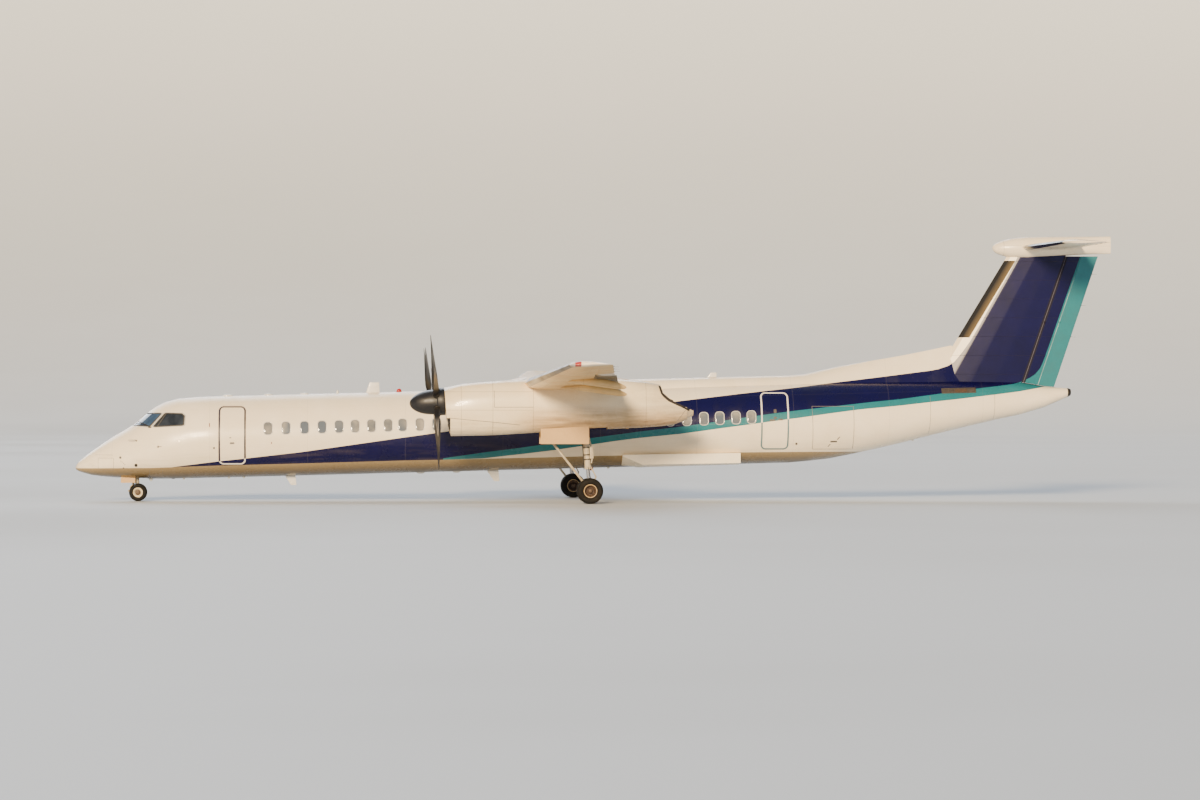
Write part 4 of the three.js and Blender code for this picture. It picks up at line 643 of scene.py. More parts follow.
class Shape:
    """A mesh put together from skins over rings of points."""

    def __init__(self):
        self.mesh = bmesh.new()

    def skin(self, rings, closed=True, ends=False):
        """Quads over rings of points, with flat ends where asked."""
        made = [[self.mesh.verts.new(point) for point in points] for points in rings]
        count = len(made[0])
        for low, high in zip(made, made[1:]):
            for i in range(count if closed else count - 1):
                j = (i + 1) % count
                self.mesh.faces.new((low[i], low[j], high[j], high[i]))
        if ends:
            self.mesh.faces.new(made[0][::-1])
            self.mesh.faces.new(made[-1])
        return made[-1]

    def lathe(self, profile, turns, place):
        """Profile of radii and axial places about the X axis of a placing."""
        self.skin([[place @ Vector((along, *part)) for part in circle(turns, radius)]
                   for radius, along in profile])

    def tube(self, points, radius, sides=10, end_radius=None):
        """A round bar along a line of places."""
        points = [Vector(point) for point in points]
        end_radius = end_radius or radius
        last = len(points) - 1
        across = (points[1] - points[0]).orthogonal()
        rings = []
        for i, point in enumerate(points):
            way = (points[min(i + 1, last)] - points[max(i - 1, 0)]).normalized()
            across = (across - way * across.dot(way)).normalized()
            up = way.cross(across)
            size = radius + (end_radius - radius) * i / last
            rings.append([point + size * (across * c + up * s) for c, s in circle(sides)])
        self.skin(rings, ends=True)

    def block(self, halves, middle, bevel):
        """A box with eased edges."""
        made = bmesh.ops.create_cube(
            self.mesh, size=2.0, matrix=Matrix.LocRotScale(middle, None, Vector(halves)))["verts"]
        edges = list(dict.fromkeys(edge for vert in made for edge in vert.link_edges))
        bmesh.ops.bevel(self.mesh, geom=edges, offset=bevel, segments=2, affect="EDGES", profile=0.6)

    def done(self, name, finish, slot, body="airframe", replaces=(), sharp=38):
        bmesh.ops.remove_doubles(self.mesh, verts=self.mesh.verts, dist=1e-5)
        bmesh.ops.recalc_face_normals(self.mesh, faces=self.mesh.faces)
        mesh = bpy.data.meshes.new(name)
        self.mesh.to_mesh(mesh)
        self.mesh.free()
        mesh.shade_smooth()
        mesh.set_sharp_from_angle(angle=radians(sharp))
        mesh.materials.append(finish)
        made = bpy.data.objects.new(name, mesh)
        bpy.context.collection.objects.link(made)
        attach(made, body)
        if replaces:
            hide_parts(*replaces)


def shapes(count):
    return [Shape() for i in range(count)]


def rounded(half_wide, half_high, radius, steps=6):
    """Outline of a rounded rectangle about its middle, with places along its straight sides too."""
    corners = []
    for corner, (su, sv) in enumerate(((1, 1), (-1, 1), (-1, -1), (1, -1))):
        turns = [pi / 2 * (corner + step / steps) for step in range(steps + 1)]
        corners.append([(su * (half_wide - radius) + radius * cos(t),
                         sv * (half_high - radius) + radius * sin(t)) for t in turns])
    points = []
    for arc, after in zip(corners, corners[1:] + corners[:1]):
        (u0, v0), (u1, v1) = arc[-1], after[0]
        points += arc + [(u0 + (u1 - u0) * i / 4, v0 + (v1 - v0) * i / 4) for i in (1, 2, 3)]
    return points


UNDER_SKIN = -0.003


def draped(station, z, half_wide, half_high, radius, out, lift):
    """A rounded rectangle on the hull that leans with the cabin."""
    return [HULL_LOFT.point(station + u - v * LEAN, z + v + u * LEAN, out, lift)
            for u, v in rounded(half_wide, half_high, radius)]


def plate(shape, station, z, half_wide, half_high, radius, out, lift, rings=5):
    """A thin rounded plate that follows the skin."""
    loops = []
    for share, rise in ((1.0, UNDER_SKIN), (1.0, lift * 0.6), (0.985, lift),
                        *((1 - (i + 1) / rings, lift) for i in range(rings - 1))):
        wide, high = half_wide * share, half_high * share
        loops.append(draped(station, z, wide, high, min(radius * share, wide, high), out, rise))
    shape.mesh.faces.new(shape.skin(loops))


def opening_frame(shape, station, z, half_wide, half_high, radius, width, out, lift):
    """A raised rounded frame round an opening; width runs outwards."""
    shape.skin([draped(station, z, half_wide + grow * width, half_high + grow * width,
                       radius + grow * width, out, rise)
                for grow, rise in ((0.0, UNDER_SKIN), (0.0, lift * 0.7), (0.15, lift), (0.85, lift),
                                   (1.0, lift * 0.6), (1.0, UNDER_SKIN))])


def band(shape, path, facing, width, lift, closed=True, low=UNDER_SKIN):
    """A strip along a line of places, raised along the directions given with them."""
    last = len(path) - 1
    rings = []
    for i, (place, up) in enumerate(zip(path, facing)):
        before = path[i - 1] if closed or i else place
        after = path[(i + 1) % len(path)] if closed or i < last else place
        across = up.cross(after - before).normalized() * (width / 2)
        rings.append([place + share * across + rise * up
                      for share, rise in ((-1, low), (-0.92, lift), (0.92, lift), (1, low))])
    shape.skin(rings + rings[:closed], closed=False)


def steps_along(corners, step, closed):
    """Places along a line of corners at about even steps."""
    corners = list(corners)
    path = []
    for (s0, z0), (s1, z1) in zip(corners, corners[1:] + corners[:closed]):
        count = max(1, round(hypot(s1 - s0, z1 - z0) / step))
        path += [(s0 + (s1 - s0) * i / count, z0 + (z1 - z0) * i / count) for i in range(count)]
    return path if closed else path + corners[-1:]


def skin_places(bare, skin):
    """Rows of coordinates as vectors, with the skin's directions there."""
    bare = np.array(bare)
    return [Vector(row) for row in bare], [Vector(row) for row in skin.outward(bare)]


def skin_band(shape, corners, out, width, lift, closed=False, skin=HULL_LOFT, step=0.05, low=UNDER_SKIN):
    """A strip on the skin along a line drawn in stations and heights."""
    bare = [(s + NOSE, skin.side(s, z, out), z) for s, z in steps_along(corners, step, closed)]
    band(shape, *skin_places(bare, skin), width, lift, closed, low)


# Wheels

# Columns: share of the tyre's height over the rim, share of its half width
TYRE_FLANK = ((0.03, 0.6), (0.1, 0.66), (0.185, 0.745), (0.25, 0.85), (0.4, 0.965), (0.55, 1.0),
              (0.7, 0.985), (0.81, 0.93), (0.9, 0.82), (0.955, 0.69), (0.985, 0.56))
# Half widths of the tread's ribs between its grooves, as shares, from the shoulder in
TREAD_RIBS = ((0.56, 0.49), (0.43, 0.245), (0.185, 0.0))
GROOVE_DEPTH, SHOULDER_DROP = 0.035, 0.012
# Columns: share of the rim's radius, share of the tyre's half width
RIM_LIP = ((0.93, -0.6), (1.05, -0.6), (1.22, -0.66), (1.28, -0.72), (1.26, -0.76), (1.16, -0.76),
           (0.9, -0.68), (0.9, 0.2), (0.9, 0.6), (1.0, 0.7), (1.08, 0.735), (1.14, 0.80), (1.26, 0.81),
           (1.295, 0.77), (1.24, 0.71), (1.05, 0.62), (0.93, 0.58), (0.93, -0.6))
RIM_DISH = ((0.915, -0.55), (0.915, 0.66), (1.08, 0.77), (1.13, 0.806), (1.125, 0.818), (1.05, 0.79),
            (0.97, 0.71), (0.9, 0.56), (0.84, 0.42), (0.74, 0.3), (0.58, 0.28), (0.5, 0.34), (0.46, 0.34),
            (0.46, -0.6), (0.7, -0.6), (0.915, -0.55))
HUB_CAP = ((0.47, 0.1), (0.47, 0.5), (0.44, 0.6), (0.4, 0.64), (0.36, 0.66), (0.35, 0.84), (0.3, 0.885),
           (0.16, 0.9), (0.0, 0.905))
OUTER_LIP = 1.1
WHEEL_TURNS = 72


def facing_out(station, y, z, out):
    """A placing whose X axis points to one side."""
    return Matrix.Translation(spot(station, y, z)) @ Matrix.Rotation(out * pi / 2, 4, "Z")


def tyre_profile(radius, half, rim):
    height = radius - rim
    side = [(rim + a * height, b * half) for a, b in TYRE_FLANK]
    groove = ()
    for rib in TREAD_RIBS:
        side += [(radius - height * GROOVE_DEPTH, share * half) for share in (*groove, *rib[:1]) if groove]
        side += [(radius - height * SHOULDER_DROP * (share / 0.56) ** 2, share * half) for share in rib]
        groove = rib[1:]
    return side + [(r, -w) for r, w in reversed(side[:-1])] + side[:1]


def wheels(prefix, body, radius, half, rim, apart, axle, middle, dish, flange, lip, hub_size, bolts):
    """Two wheels on an axle: tyres, rims, and hub caps with a ring of bolts.

    Sizes in metres: radius, half width, rim radius, half the space between them, place of the axle.
    Shares: how much the flange's lip and the hub are enlarged, and the bolts' ring of the rim.
    """
    tyres, lips, dishes, caps = shapes(4)
    wide = 1 + 0.9 * (lip - 1)
    for out in BOTH:
        place = facing_out(axle, middle + out * apart, radius, out)
        tyres.lathe(tyre_profile(radius, half, rim), WHEEL_TURNS, place)
        lips.lathe([(r * rim * lip, w * half * wide) if r > OUTER_LIP else (r * rim, w * half)
                    for r, w in RIM_LIP], WHEEL_TURNS, place)
        dishes.lathe([(r * rim, w * half) for r, w in RIM_DISH], WHEEL_TURNS, place)
        caps.lathe([(r * rim * hub_size, w * half) for r, w in HUB_CAP], 36, place)
        for part in circle(10, bolts * rim):
            caps.tube([place @ Vector((share * half, *part)) for share in (0.2, 0.4)], 0.045 * rim, 6)
    covered = [[n for n in NODES if n.startswith(f"{prefix}_{part}_")] for part in ("tyre", "rim")]
    tyres.done(f"{prefix}_tyres", RUBBER, "tyre_rubber", body, covered[0])
    lips.done(f"{prefix}_rim_flanges", flange, "rim_alloy", body, covered[1])
    dishes.done(f"{prefix}_rim_dishes", dish, "rim_alloy", body)
    caps.done(f"{prefix}_hub_caps", BRONZE, "rim_alloy", body)


MAIN_AXLE, MAIN_TRACK, MAIN_RADIUS = 15.893, 4.395, 0.394
for name, out in SIDES:
    wheels(f"main_{name}", f"main_wheels_{name}", MAIN_RADIUS, 0.165, 0.160, 0.240, MAIN_AXLE,
           out * MAIN_TRACK, BRONZE_DARK, RIM_BRONZE, 1.0, 1.0, 0.72)
wheels("nose", "nose_wheels", 0.2795, 0.082, 0.112, 0.152, 1.953, 0.0, RIM_CREAM, RIM_CREAM,
       1.075, 1.62, 0.88)


# Propellers

THRUST_TILT = radians(3.6)
PROPELLER = (11.157, 3.109)
PROPELLER_PHASE = {"left": 0.0, "right": radians(30)}
# Columns: radius, chord, pitch in degrees, thickness share, axial place
BLADE_ROWS = (
    (0.400, 0.150, 62, 0.62, 0.055), (0.470, 0.172, 57, 0.44, 0.054), (0.600, 0.262, 46, 0.2, 0.048),
    (0.780, 0.308, 36, 0.125, 0.042), (1.000, 0.330, 27, 0.09, 0.035), (1.250, 0.325, 20.5, 0.072, 0.027),
    (1.500, 0.305, 15, 0.06, 0.019), (1.720, 0.264, 11.6, 0.053, 0.012), (1.900, 0.208, 9, 0.05, 0.005),
    (2.000, 0.150, 8.3, 0.05, 0.002), (2.040, 0.105, 8.1, 0.055, 0.0), (2.055, 0.06, 8, 0.06, 0.0))
SECTION_STEPS = 12
SPINNER_NOSE, SPINNER_RADIUS, BACK_RADIUS, BACK_END = -0.768, 0.380, 0.420, 0.306
SPINNER = [(SPINNER_RADIUS * sin(pi / 2 * i / 20), SPINNER_NOSE * cos(pi / 2 * i / 20))
           for i in range(21)]
SPINNER += [(SPINNER_RADIUS, 0.045), (0.382, 0.062), (0.392, 0.072), (0.409, 0.079), (0.416, 0.084),
            (BACK_RADIUS, 0.09), (BACK_RADIUS, 0.292), (0.416, BACK_END), (0.39, BACK_END), (0.125, BACK_END)]
BLADE_FOOT = ((0.10, 0.37), (0.10, 0.40), (0.096, 0.424), (0.088, 0.43), (0.083, 0.44), (0.083, 0.47),
              (0.0, 0.472))


def blade_section(radius, chord, pitch, thickness, axial):
    """Places round a section of a blade that stands up, thicker on its front face."""
    turn = radians(pitch)
    ring = []
    for i, (c, s) in enumerate(circle(2 * SECTION_STEPS)):
        share = (1 - c) / 2
        half = 0.5 * thickness * 2.6 * sqrt(share) * (1 - share) + 0.012
        u = -c * 0.5 * chord
        v = copysign(half, s + 1e-9) * chord * (1.15 if i < SECTION_STEPS else 0.7)
        ring.append(Vector((axial + u * sin(turn) + v * cos(turn),
                            u * cos(turn) - v * sin(turn), radius)))
    return ring


for name, out in SIDES:
    body = f"propeller_{name}"
    place = (Matrix.Translation(spot(PROPELLER[0], out * NACELLE_Y, PROPELLER[1]))
             @ Matrix.Rotation(-THRUST_TILT, 4, "Y") @ Matrix.Rotation(PROPELLER_PHASE[name], 4, "X"))
    cone, blades, roots = shapes(3)
    cone.lathe(SPINNER, 72, place)
    for i in range(6):
        turned = place @ Matrix.Rotation(pi / 3 * i, 4, "X")
        blades.skin([[turned @ point for point in blade_section(*row)] for row in BLADE_ROWS], ends=True)
        foot = turned @ Matrix.Translation((0.055, 0, 0)) @ Matrix.Rotation(-pi / 2, 4, "Y")
        roots.lathe(BLADE_FOOT, 28, foot)
    roots.lathe([(0.09, 0.25), (0.09, 0.8)], 28, place)
    cone.done(f"spinner_shell_{name}", BLACK, "black_paint", body, [f"spinner_{name}"], sharp=50)
    blades.done(f"propeller_blades_{name}", BLACK, "black_paint", body, [f"propeller_{name}"], sharp=60)
    roots.done(f"propeller_roots_{name}", BRAKE_DARK, "dark_metal", body)


# Cabin windows

WINDOW_WIDE, WINDOW_HIGH, WINDOW_CORNER = 0.1175, 0.178, 0.085
WINDOWS = (6.04, 6.60, 7.175, 7.72, 8.25, 8.75, 9.26, 9.78, 10.23,
           *(10.77 + (19.14 - 10.77) / 16 * i for i in range(16)), 19.14, 19.68, 20.18, 20.69, 21.18)
# Stations and heights of the windows' middles
WINDOW_LINE = ((6.04, 10.77, 19.14, 21.18), (2.29, 2.41, 2.572, 2.64))
for name, out in SIDES:
    frames, seals, panes = shapes(3)
    for station in WINDOWS:
        z = float(np.interp(station, *WINDOW_LINE))
        for shape, grow, width, lift in ((frames, 0.008, 0.024, 0.005), (seals, -0.002, 0.012, 0.0035)):
            opening_frame(shape, station, z, WINDOW_WIDE + grow, WINDOW_HIGH + grow, WINDOW_CORNER + grow,
                          width, out, lift)
        plate(panes, station, z, WINDOW_WIDE, WINDOW_HIGH, WINDOW_CORNER, out, 0.0015)
    frames.done(f"cabin_window_surrounds_{name}", SURROUND, "white_paint")
    seals.done(f"cabin_window_seals_{name}", SEAL, "black_paint")
    panes.done(f"cabin_window_panes_{name}", PANE, "glazing")


# Doors' edges, handles, panel joints and small marks

EDGE_WIDE = 0.05
# Columns: name, stations, heights, corner radius, side, body
DOOR_EDGES = (
    ("airstair_edge", 4.504, 5.346, 1.156, 2.986, 0.132, PORT, "airstair"),
    ("aft_door_edge", 21.484, 22.366, 1.614, 3.426, 0.132, PORT, "airframe"),
    ("service_door_edge", 21.55, 22.25, 1.78, 3.12, 0.14, STARBOARD, "airframe"),
    ("forward_exit_edge", 4.62, 5.20, 1.62, 2.92, 0.13, STARBOARD, "airframe"),
)
for name, s0, s1, z0, z1, corner, out, body in DOOR_EDGES:
    edge = Shape()
    outline = rounded((s1 - s0 - EDGE_WIDE) / 2, (z1 - z0 - EDGE_WIDE) / 2, corner, 8)
    outline = [((s0 + s1) / 2 + u, (z0 + z1) / 2 + v) for u, v in outline]
    skin_band(edge, outline, out, EDGE_WIDE, 0.003, closed=True)
    edge.done(name, EDGE, "black_paint", body, sharp=60)

P, S = (PORT,), (STARBOARD,)
# Name, finish, slot and body, then plates with sides, station, height, half sizes, corner radius,
# lift and rings, and strips on both sides with width, lift, whether they close, and corners
TRIM = (
    ("airstair_handle", MARK_GREY, "gear_steel", "airstair", (
        (P, 4.925, 1.83, 0.07, 0.028, 0.025, 0.004), (P, 4.87, 2.0, 0.03, 0.015, 0.012, 0.003)), ()),
    ("hull_handles", MARK_DARK, "gear_steel", "airframe", (
        (P, 21.93, 2.83, 0.045, 0.06, 0.02, 0.004), (P, 21.84, 2.545, 0.09, 0.025, 0.02, 0.004),
        (P, 22.10, 2.565, 0.07, 0.025, 0.02, 0.004), (P, 21.93, 2.62, 0.045, 0.035, 0.02, 0.004),
        (S, 21.9, 2.5, 0.08, 0.035, 0.03, 0.004), (S, 4.91, 2.2, 0.08, 0.035, 0.03, 0.004),
        (BOTH, 23.80, 1.868, 0.11, 0.022, 0.018, 0.004), (BOTH, 22.616, 1.8, 0.035, 0.035, 0.033, 0.003)), (
        (0.022, 0.004, False, (23.63, 1.71), (23.70, 1.79)),
        (0.022, 0.004, False, (23.91, 1.93), (23.99, 2.02)))),
    ("hull_panel_joints", MARK_GREY, "white_paint", "airframe", (), (
        (0.014, 0.0012, True, (23.10, 2.98), (24.42, 2.98), (24.44, 1.63), (23.14, 1.63)),
        (0.009, 0.001, True, (0.735, 1.36), (1.225, 1.36), (1.225, 0.985), (0.735, 0.985)),
        (0.007, 0.001, False, (0.62, 1.46), (1.21, 1.46)),
        (0.009, 0.001, False, (2.35, 0.98), (2.35, 0.80), (2.75, 0.80), (2.75, 0.98)),
        (0.010, 0.001, False, (26.9, 2.12), (26.9, 3.3)), (0.010, 0.001, False, (29.0, 2.58), (29.0, 3.35)))),
    ("nose_port_holes", MARK_BLACK, "black_paint", "airframe", (
        (BOTH, 1.929, 1.139, 0.048, 0.048, 0.047, 0.003),
        (BOTH, 1.535, 1.054, 0.018, 0.018, 0.017, 0.003)), ()),
    ("nose_static_ports", PROBE, "gear_steel", "airframe", (
        (BOTH, 1.439, 1.379, 0.036, 0.036, 0.035, 0.004), (BOTH, 3.277, 1.883, 0.05, 0.03, 0.028, 0.004),
        (BOTH, 4.363, 1.681, 0.03, 0.03, 0.028, 0.004),
        *((BOTH, station, z, 0.012, 0.012, 0.011, 0.003, 2)
          for station, z in ((1.46, 1.27), (1.5, 1.24), (1.54, 1.2), (1.58, 1.16)))), ()),
    ("small_red_bars", MARK_RED, "white_paint", "airframe", (
        (BOTH, 4.222, 2.397, 0.013, 0.06, 0.01, 0.0015), (BOTH, 6.149, 1.836, 0.012, 0.03, 0.01, 0.0015)), ()),
    ("duct_panel", DUCT, "dark_metal", "airframe", ((P, 27.85, 3.48, 0.56, 0.085, 0.02, 0.005),), ()),
    ("duct_outlet", BRONZE, "dark_metal", "airframe", ((P, 27.92, 3.475, 0.2, 0.045, 0.04, 0.009),), ()),
)
for name, finish, slot, body, plates, strips in TRIM:
    trim = Shape()
    for sides, station, z, wide, high, corner, lift, *rings in plates:
        for out in sides:
            plate(trim, station, z, wide, high, corner, out, lift, *rings)
    for width, lift, closed, *corners in strips:
        for out in BOTH:
            skin_band(trim, corners, out, width, lift, closed)
    trim.done(name, finish, slot, body, sharp=60 if strips else 38)

# Air data probes on the nose, a mast with a tube that points forward, and vanes
probes = Shape()
for out in BOTH:
    seat, tip = [HULL_LOFT.point(1.95, 1.897, out, lift) for lift in (0.0, 0.075)]
    probes.tube([seat - (tip - seat) * 0.2, tip], 0.022, 12, 0.012)
    probes.tube([tip + Vector((ahead, 0, 0)) for ahead in (0.03, -0.06, -0.24)], 0.012, 12, 0.008)
    seat, tip = [HULL_LOFT.point(2.62, 1.72, out, lift) for lift in (0.0, 0.03)]
    probes.tube([seat, tip], 0.035, 16, 0.02)
    probes.tube([tip, tip + Vector((0.13, 0, 0.01))], 0.008, 8, 0.003)
probes.done("nose_probes", PROBE, "gear_steel")


# Flight deck glass: dark seals, pale surrounds, the side window's divider and wipers

WINDSCREEN = ((1.560, 2.400), (2.362, 2.350), (2.728, 2.762), (1.990, 2.765))
SIDE_WINDOW = ((2.455, 2.338), (3.420, 2.385), (3.440, 2.680), (3.360, 2.752), (2.822, 2.768))
# Each outline with how far its pane keeps off the hull's middle
COCKPIT_PANES = ((WINDSCREEN, 0.045), (SIDE_WINDOW, 0.3))
CORNER_SHARE = 0.09


def eased(corners, reach):
    """An outline drawn outwards from its middle, with its corners cut by short curves."""
    middle = Vector([sum(c[i] for c in corners) / len(corners) for i in (0, 1)])
    corners = [Vector(c) + (Vector(c) - middle).normalized() * reach for c in corners]
    points = []
    for before, here, after in zip(corners[-1:] + corners, corners, corners[1:] + corners[:1]):
        start, end = here.lerp(before, CORNER_SHARE), here.lerp(after, CORNER_SHARE)
        points += [tuple(start * (1 - t) ** 2 + here * 2 * t * (1 - t) + end * t ** 2)
                   for t in (0.0, 0.25, 0.5, 0.75, 1.0)]
    return points


def pane_path(corners, out, post):
    """Line round a pane on the skin; where its outline leaves the hull it runs up the centre post."""
    path = [(s, z) if z < HULL_LOFT.row(s)[1] and abs(HULL_LOFT.side(s, z, out)) > post else None
            for s, z in steps_along(corners, 0.03, True)]
    if None in path:
        start = next(i for i, place in enumerate(path) if place and not path[i - 1])
        path = [place for place in path[start:] + path[:start] if place]
    bare = [(s + NOSE, HULL_LOFT.side(s, z, out), z) for s, z in path]
    if min(abs(bare[-1][1]), abs(bare[0][1])) < 2 * post:
        first, last = path[0][0], path[-1][0]
        up_post = [last + (first - last) * i / 12 for i in range(1, 12)]
        bare += [(s + NOSE, out * post, HULL_LOFT.height(s, out * post)) for s in up_post]
    return skin_places(bare, HULL_LOFT)


for name, out in SIDES:
    seals, surrounds, wipers = shapes(3)
    for corners, post in COCKPIT_PANES:
        band(seals, *pane_path(eased(corners, -0.008), out, post + 0.008), 0.042, 0.004)
        band(surrounds, *pane_path(eased(corners, 0.034), out, max(0.012, post - 0.03)), 0.034, 0.0025)
    skin_band(seals, [(2.598, 2.362), (2.862, 2.752)], out, 0.045, 0.004)
    arm, blade = [[HULL_LOFT.point(s, z, out, lift) for s, z, lift in rows] for rows in (
        ((2.36, 2.325, 0.01), (2.30, 2.36, 0.05), (2.02, 2.47, 0.045)),
        ((2.26, 2.375, 0.03), (2.1, 2.42, 0.03), (1.92, 2.42, 0.03)))]
    wipers.tube(arm, 0.011, 8)
    wipers.tube(blade, 0.009, 8)
    wipers.block((0.05, 0.03, 0.02), arm[0], 0.008)
    seals.done(f"cockpit_seals_{name}", SEAL, "black_paint", sharp=60)
    surrounds.done(f"cockpit_surrounds_{name}", SURROUND, "white_paint", sharp=60)
    wipers.done(f"wipers_{name}", MARK_BLACK, "black_paint")


# Rudders' foot: a dark web as painted shade in the gap; antennas, drains and lamps on the crown and keel

def fin_blade(shape, foot, tip, thick):
    """A thin swept blade between two rows of (front station, back station, height)."""
    rings = []
    for share, size in ((0.0, 1.0), (0.5, 1.0), (0.93, 1.0), (1.0, 0.4)):
        front, back, z = [a + (b - a) * share for a, b in zip(foot, tip)]
        wide = thick * (1 - 0.45 * share) * size
        rings.append([spot(front + (back - front) * (1 - c) / 2, wide * s * (1 - (1 - c) / 4), z)
                      for c, s in circle(20)])
    shape.skin(rings, ends=True)


def dome(shape, station, y, z, length, wide, high):
    """A low streamlined dome standing on a place; a negative height hangs it."""
    rows = [(1.0, -copysign(0.03, high))]
    rows += [(c, high * s) for c, s in circle(24)[:6]] + [(0.06, high)]
    shape.skin([[spot(station + length / 2 * size * c, y + wide / 2 * size * s, z + rise)
                 for c, s in circle(24)] for size, rise in rows], ends=True)


def crown(station):
    return HULL_LOFT.height(station)


def keel(station, y=0.0):
    return HULL_LOFT.height(station, y, "keel")


# A dark web closes the gap under the rudders as painted shade; it runs a little lower than the rudders sweep
foot_shade_web = Shape()
foot_shade_web.skin([[spot(station, y, z) for y, z in ((-0.013, crown(station) - 0.01), (-0.009, foot), (0.009, foot),
                                             (0.013, crown(station) - 0.01))]
           for station, foot in ((30.03, 3.737), (30.4, 3.6725), (30.7, 3.619), (31.02, 3.596))], ends=True)
foot_shade_web.done("rudder_foot_shade_web", MARK_DARK, "black_paint")

aerials = Shape()
fin_blade(aerials, (9.10, 9.53, crown(9.3) - 0.01), (9.21, 9.51, crown(9.3) + 0.31), 0.022)
fin_blade(aerials, (6.55, 6.88, keel(6.7) + 0.01), (6.74, 6.91, keel(6.7) - 0.29), 0.02)
fin_blade(aerials, (12.90, 13.28, keel(13.1) + 0.01), (13.14, 13.31, keel(13.1) - 0.34), 0.022)
fin_blade(aerials, (19.9, 20.2, 3.905), (20.02, 20.2, 4.05), 0.016)
# Columns: station, length, breadth, height
for station, *size in ((4.763, 0.34, 0.2, 0.05), (6.034, 0.3, 0.2, 0.045), (7.165, 0.3, 0.2, 0.045),
                       (8.202, 0.08, 0.08, 0.11)):
    dome(aerials, station, 0.0, crown(station) - 0.004, *size)
for station, *size in ((10.82, 0.26, 0.16, -0.05), (11.95, 0.26, 0.16, -0.05), (17.77, 0.4, 0.14, -0.035)):
    dome(aerials, station, 0.0, keel(station) + 0.004, *size)
for station in (3.385, 4.795, 5.265, 16.751, 26.449):
    dome(aerials, station, -0.12, keel(station, -0.12) + 0.004, 0.09, 0.04, -0.05)
aerials.done("antennas_and_drains", ANTENNA, "white_paint")
beacons, lamps = shapes(2)
dome(beacons, 10.139, 0.0, crown(10.139) - 0.002, 0.17, 0.14, 0.105)
dome(beacons, 16.2, 0.0, keel(16.2) + 0.002, 0.17, 0.14, -0.09)
beacons.done("beacons", BEACON, "glazing")
dome(lamps, 2.36, -0.02, keel(2.36) + 0.003, 0.13, 0.11, -0.085)
for out in BOTH:
    dome(lamps, 31.5, out * 0.03, 3.44, 0.05, 0.05, 0.04)
lamps.done("clear_lamps", LAMP, "glazing")


# Nacelles: black rim of the jet pipe's opening and panel joints

TAIL_EDGE = ((18.01, 3.60), (18.07, 3.375), (18.135, 3.29), (18.28, 3.165), (18.45, 3.085), (18.645, 3.0),
             (18.8, 2.925), (18.93, 2.86))
COWL_JOINTS = (
    ((11.58, 2.62), (12.2, 2.56), (12.878, 2.50), (13.729, 2.41)), ((18.512, 2.47), (18.8, 2.86)),
    ((12.908, 2.50), (12.908, 2.09)), ((14.139, 2.95), (12.95, 2.95)), ((12.95, 2.95), (12.95, 3.45)))
for name, loft in NACELLE_LOFTS.items():
    rims, seams = shapes(2)
    for out in BOTH:
        skin_band(rims, TAIL_EDGE, out, 0.075, 0.005, skin=loft, step=0.04)
        for corners in COWL_JOINTS:
            skin_band(seams, corners, out, 0.014, 0.004, skin=loft, step=0.12, low=-0.008)
    rims.done(f"jet_pipe_rim_{name}", HOT_BLACK, "dark_metal", sharp=60)
    seams.done(f"cowl_joints_{name}", MARK_GREY, "white_paint", sharp=60)


# Static wicks along the trailing edges

def wicks(node_name, body, places, axis=1):
    """Thin rods that trail from the aft edge of a surface at places along its span."""
    node = NODES[node_name]
    points = np.array([node.matrix_world @ v.co for v in node.data.vertices])
    across = points[:, axis]
    rows = [points[np.abs(across - level) < 0.02] for level in (across.min(), across.max())]
    first, last = [row[np.argmax(row[:, 0])] for row in rows]
    shape = Shape()
    for place in places:
        seat = Vector(first + (last - first) * (place - first[axis]) / (last[axis] - first[axis]))
        shape.tube([seat - Vector((0.03, 0, 0)), seat + Vector((0.03, 0, 0))], 0.008, 6)
        shape.tube([seat, seat + Vector((0.16, 0, -0.01))], 0.0035, 6, 0.002)
    shape.done(f"static_wicks_{node_name}", WICK, "black_paint", body)


for name, out in SIDES:
    wicks(f"aileron_{name}", f"aileron_{name}", [out * y for y in (11.2, 12.2, 13.2)])
    wicks(f"elevator_{name}", "elevators", [out * y for y in (2.6, 3.4, 4.2)])
wicks("rear_rudder", "rear_rudder", (5.2, 6.2, 7.2), axis=2)


# Main legs: bright pistons, brake stacks, hoses, clamps and the retraction actuator

LEG_TOP, LEG_STATION = 2.680, 15.700
BRAKE = ((0.053, 0.075), (0.135, 0.075), (0.14, 0.085), (0.14, 0.118), (0.128, 0.12), (0.128, 0.128),
         (0.053, 0.128))
# Columns: foot and head of each clamp, radius
CLAMPS = ((1.34, 1.375, 0.103), (1.48, 1.515, 0.103), (1.70, 1.735, 0.1), (1.9, 1.93, 0.1))
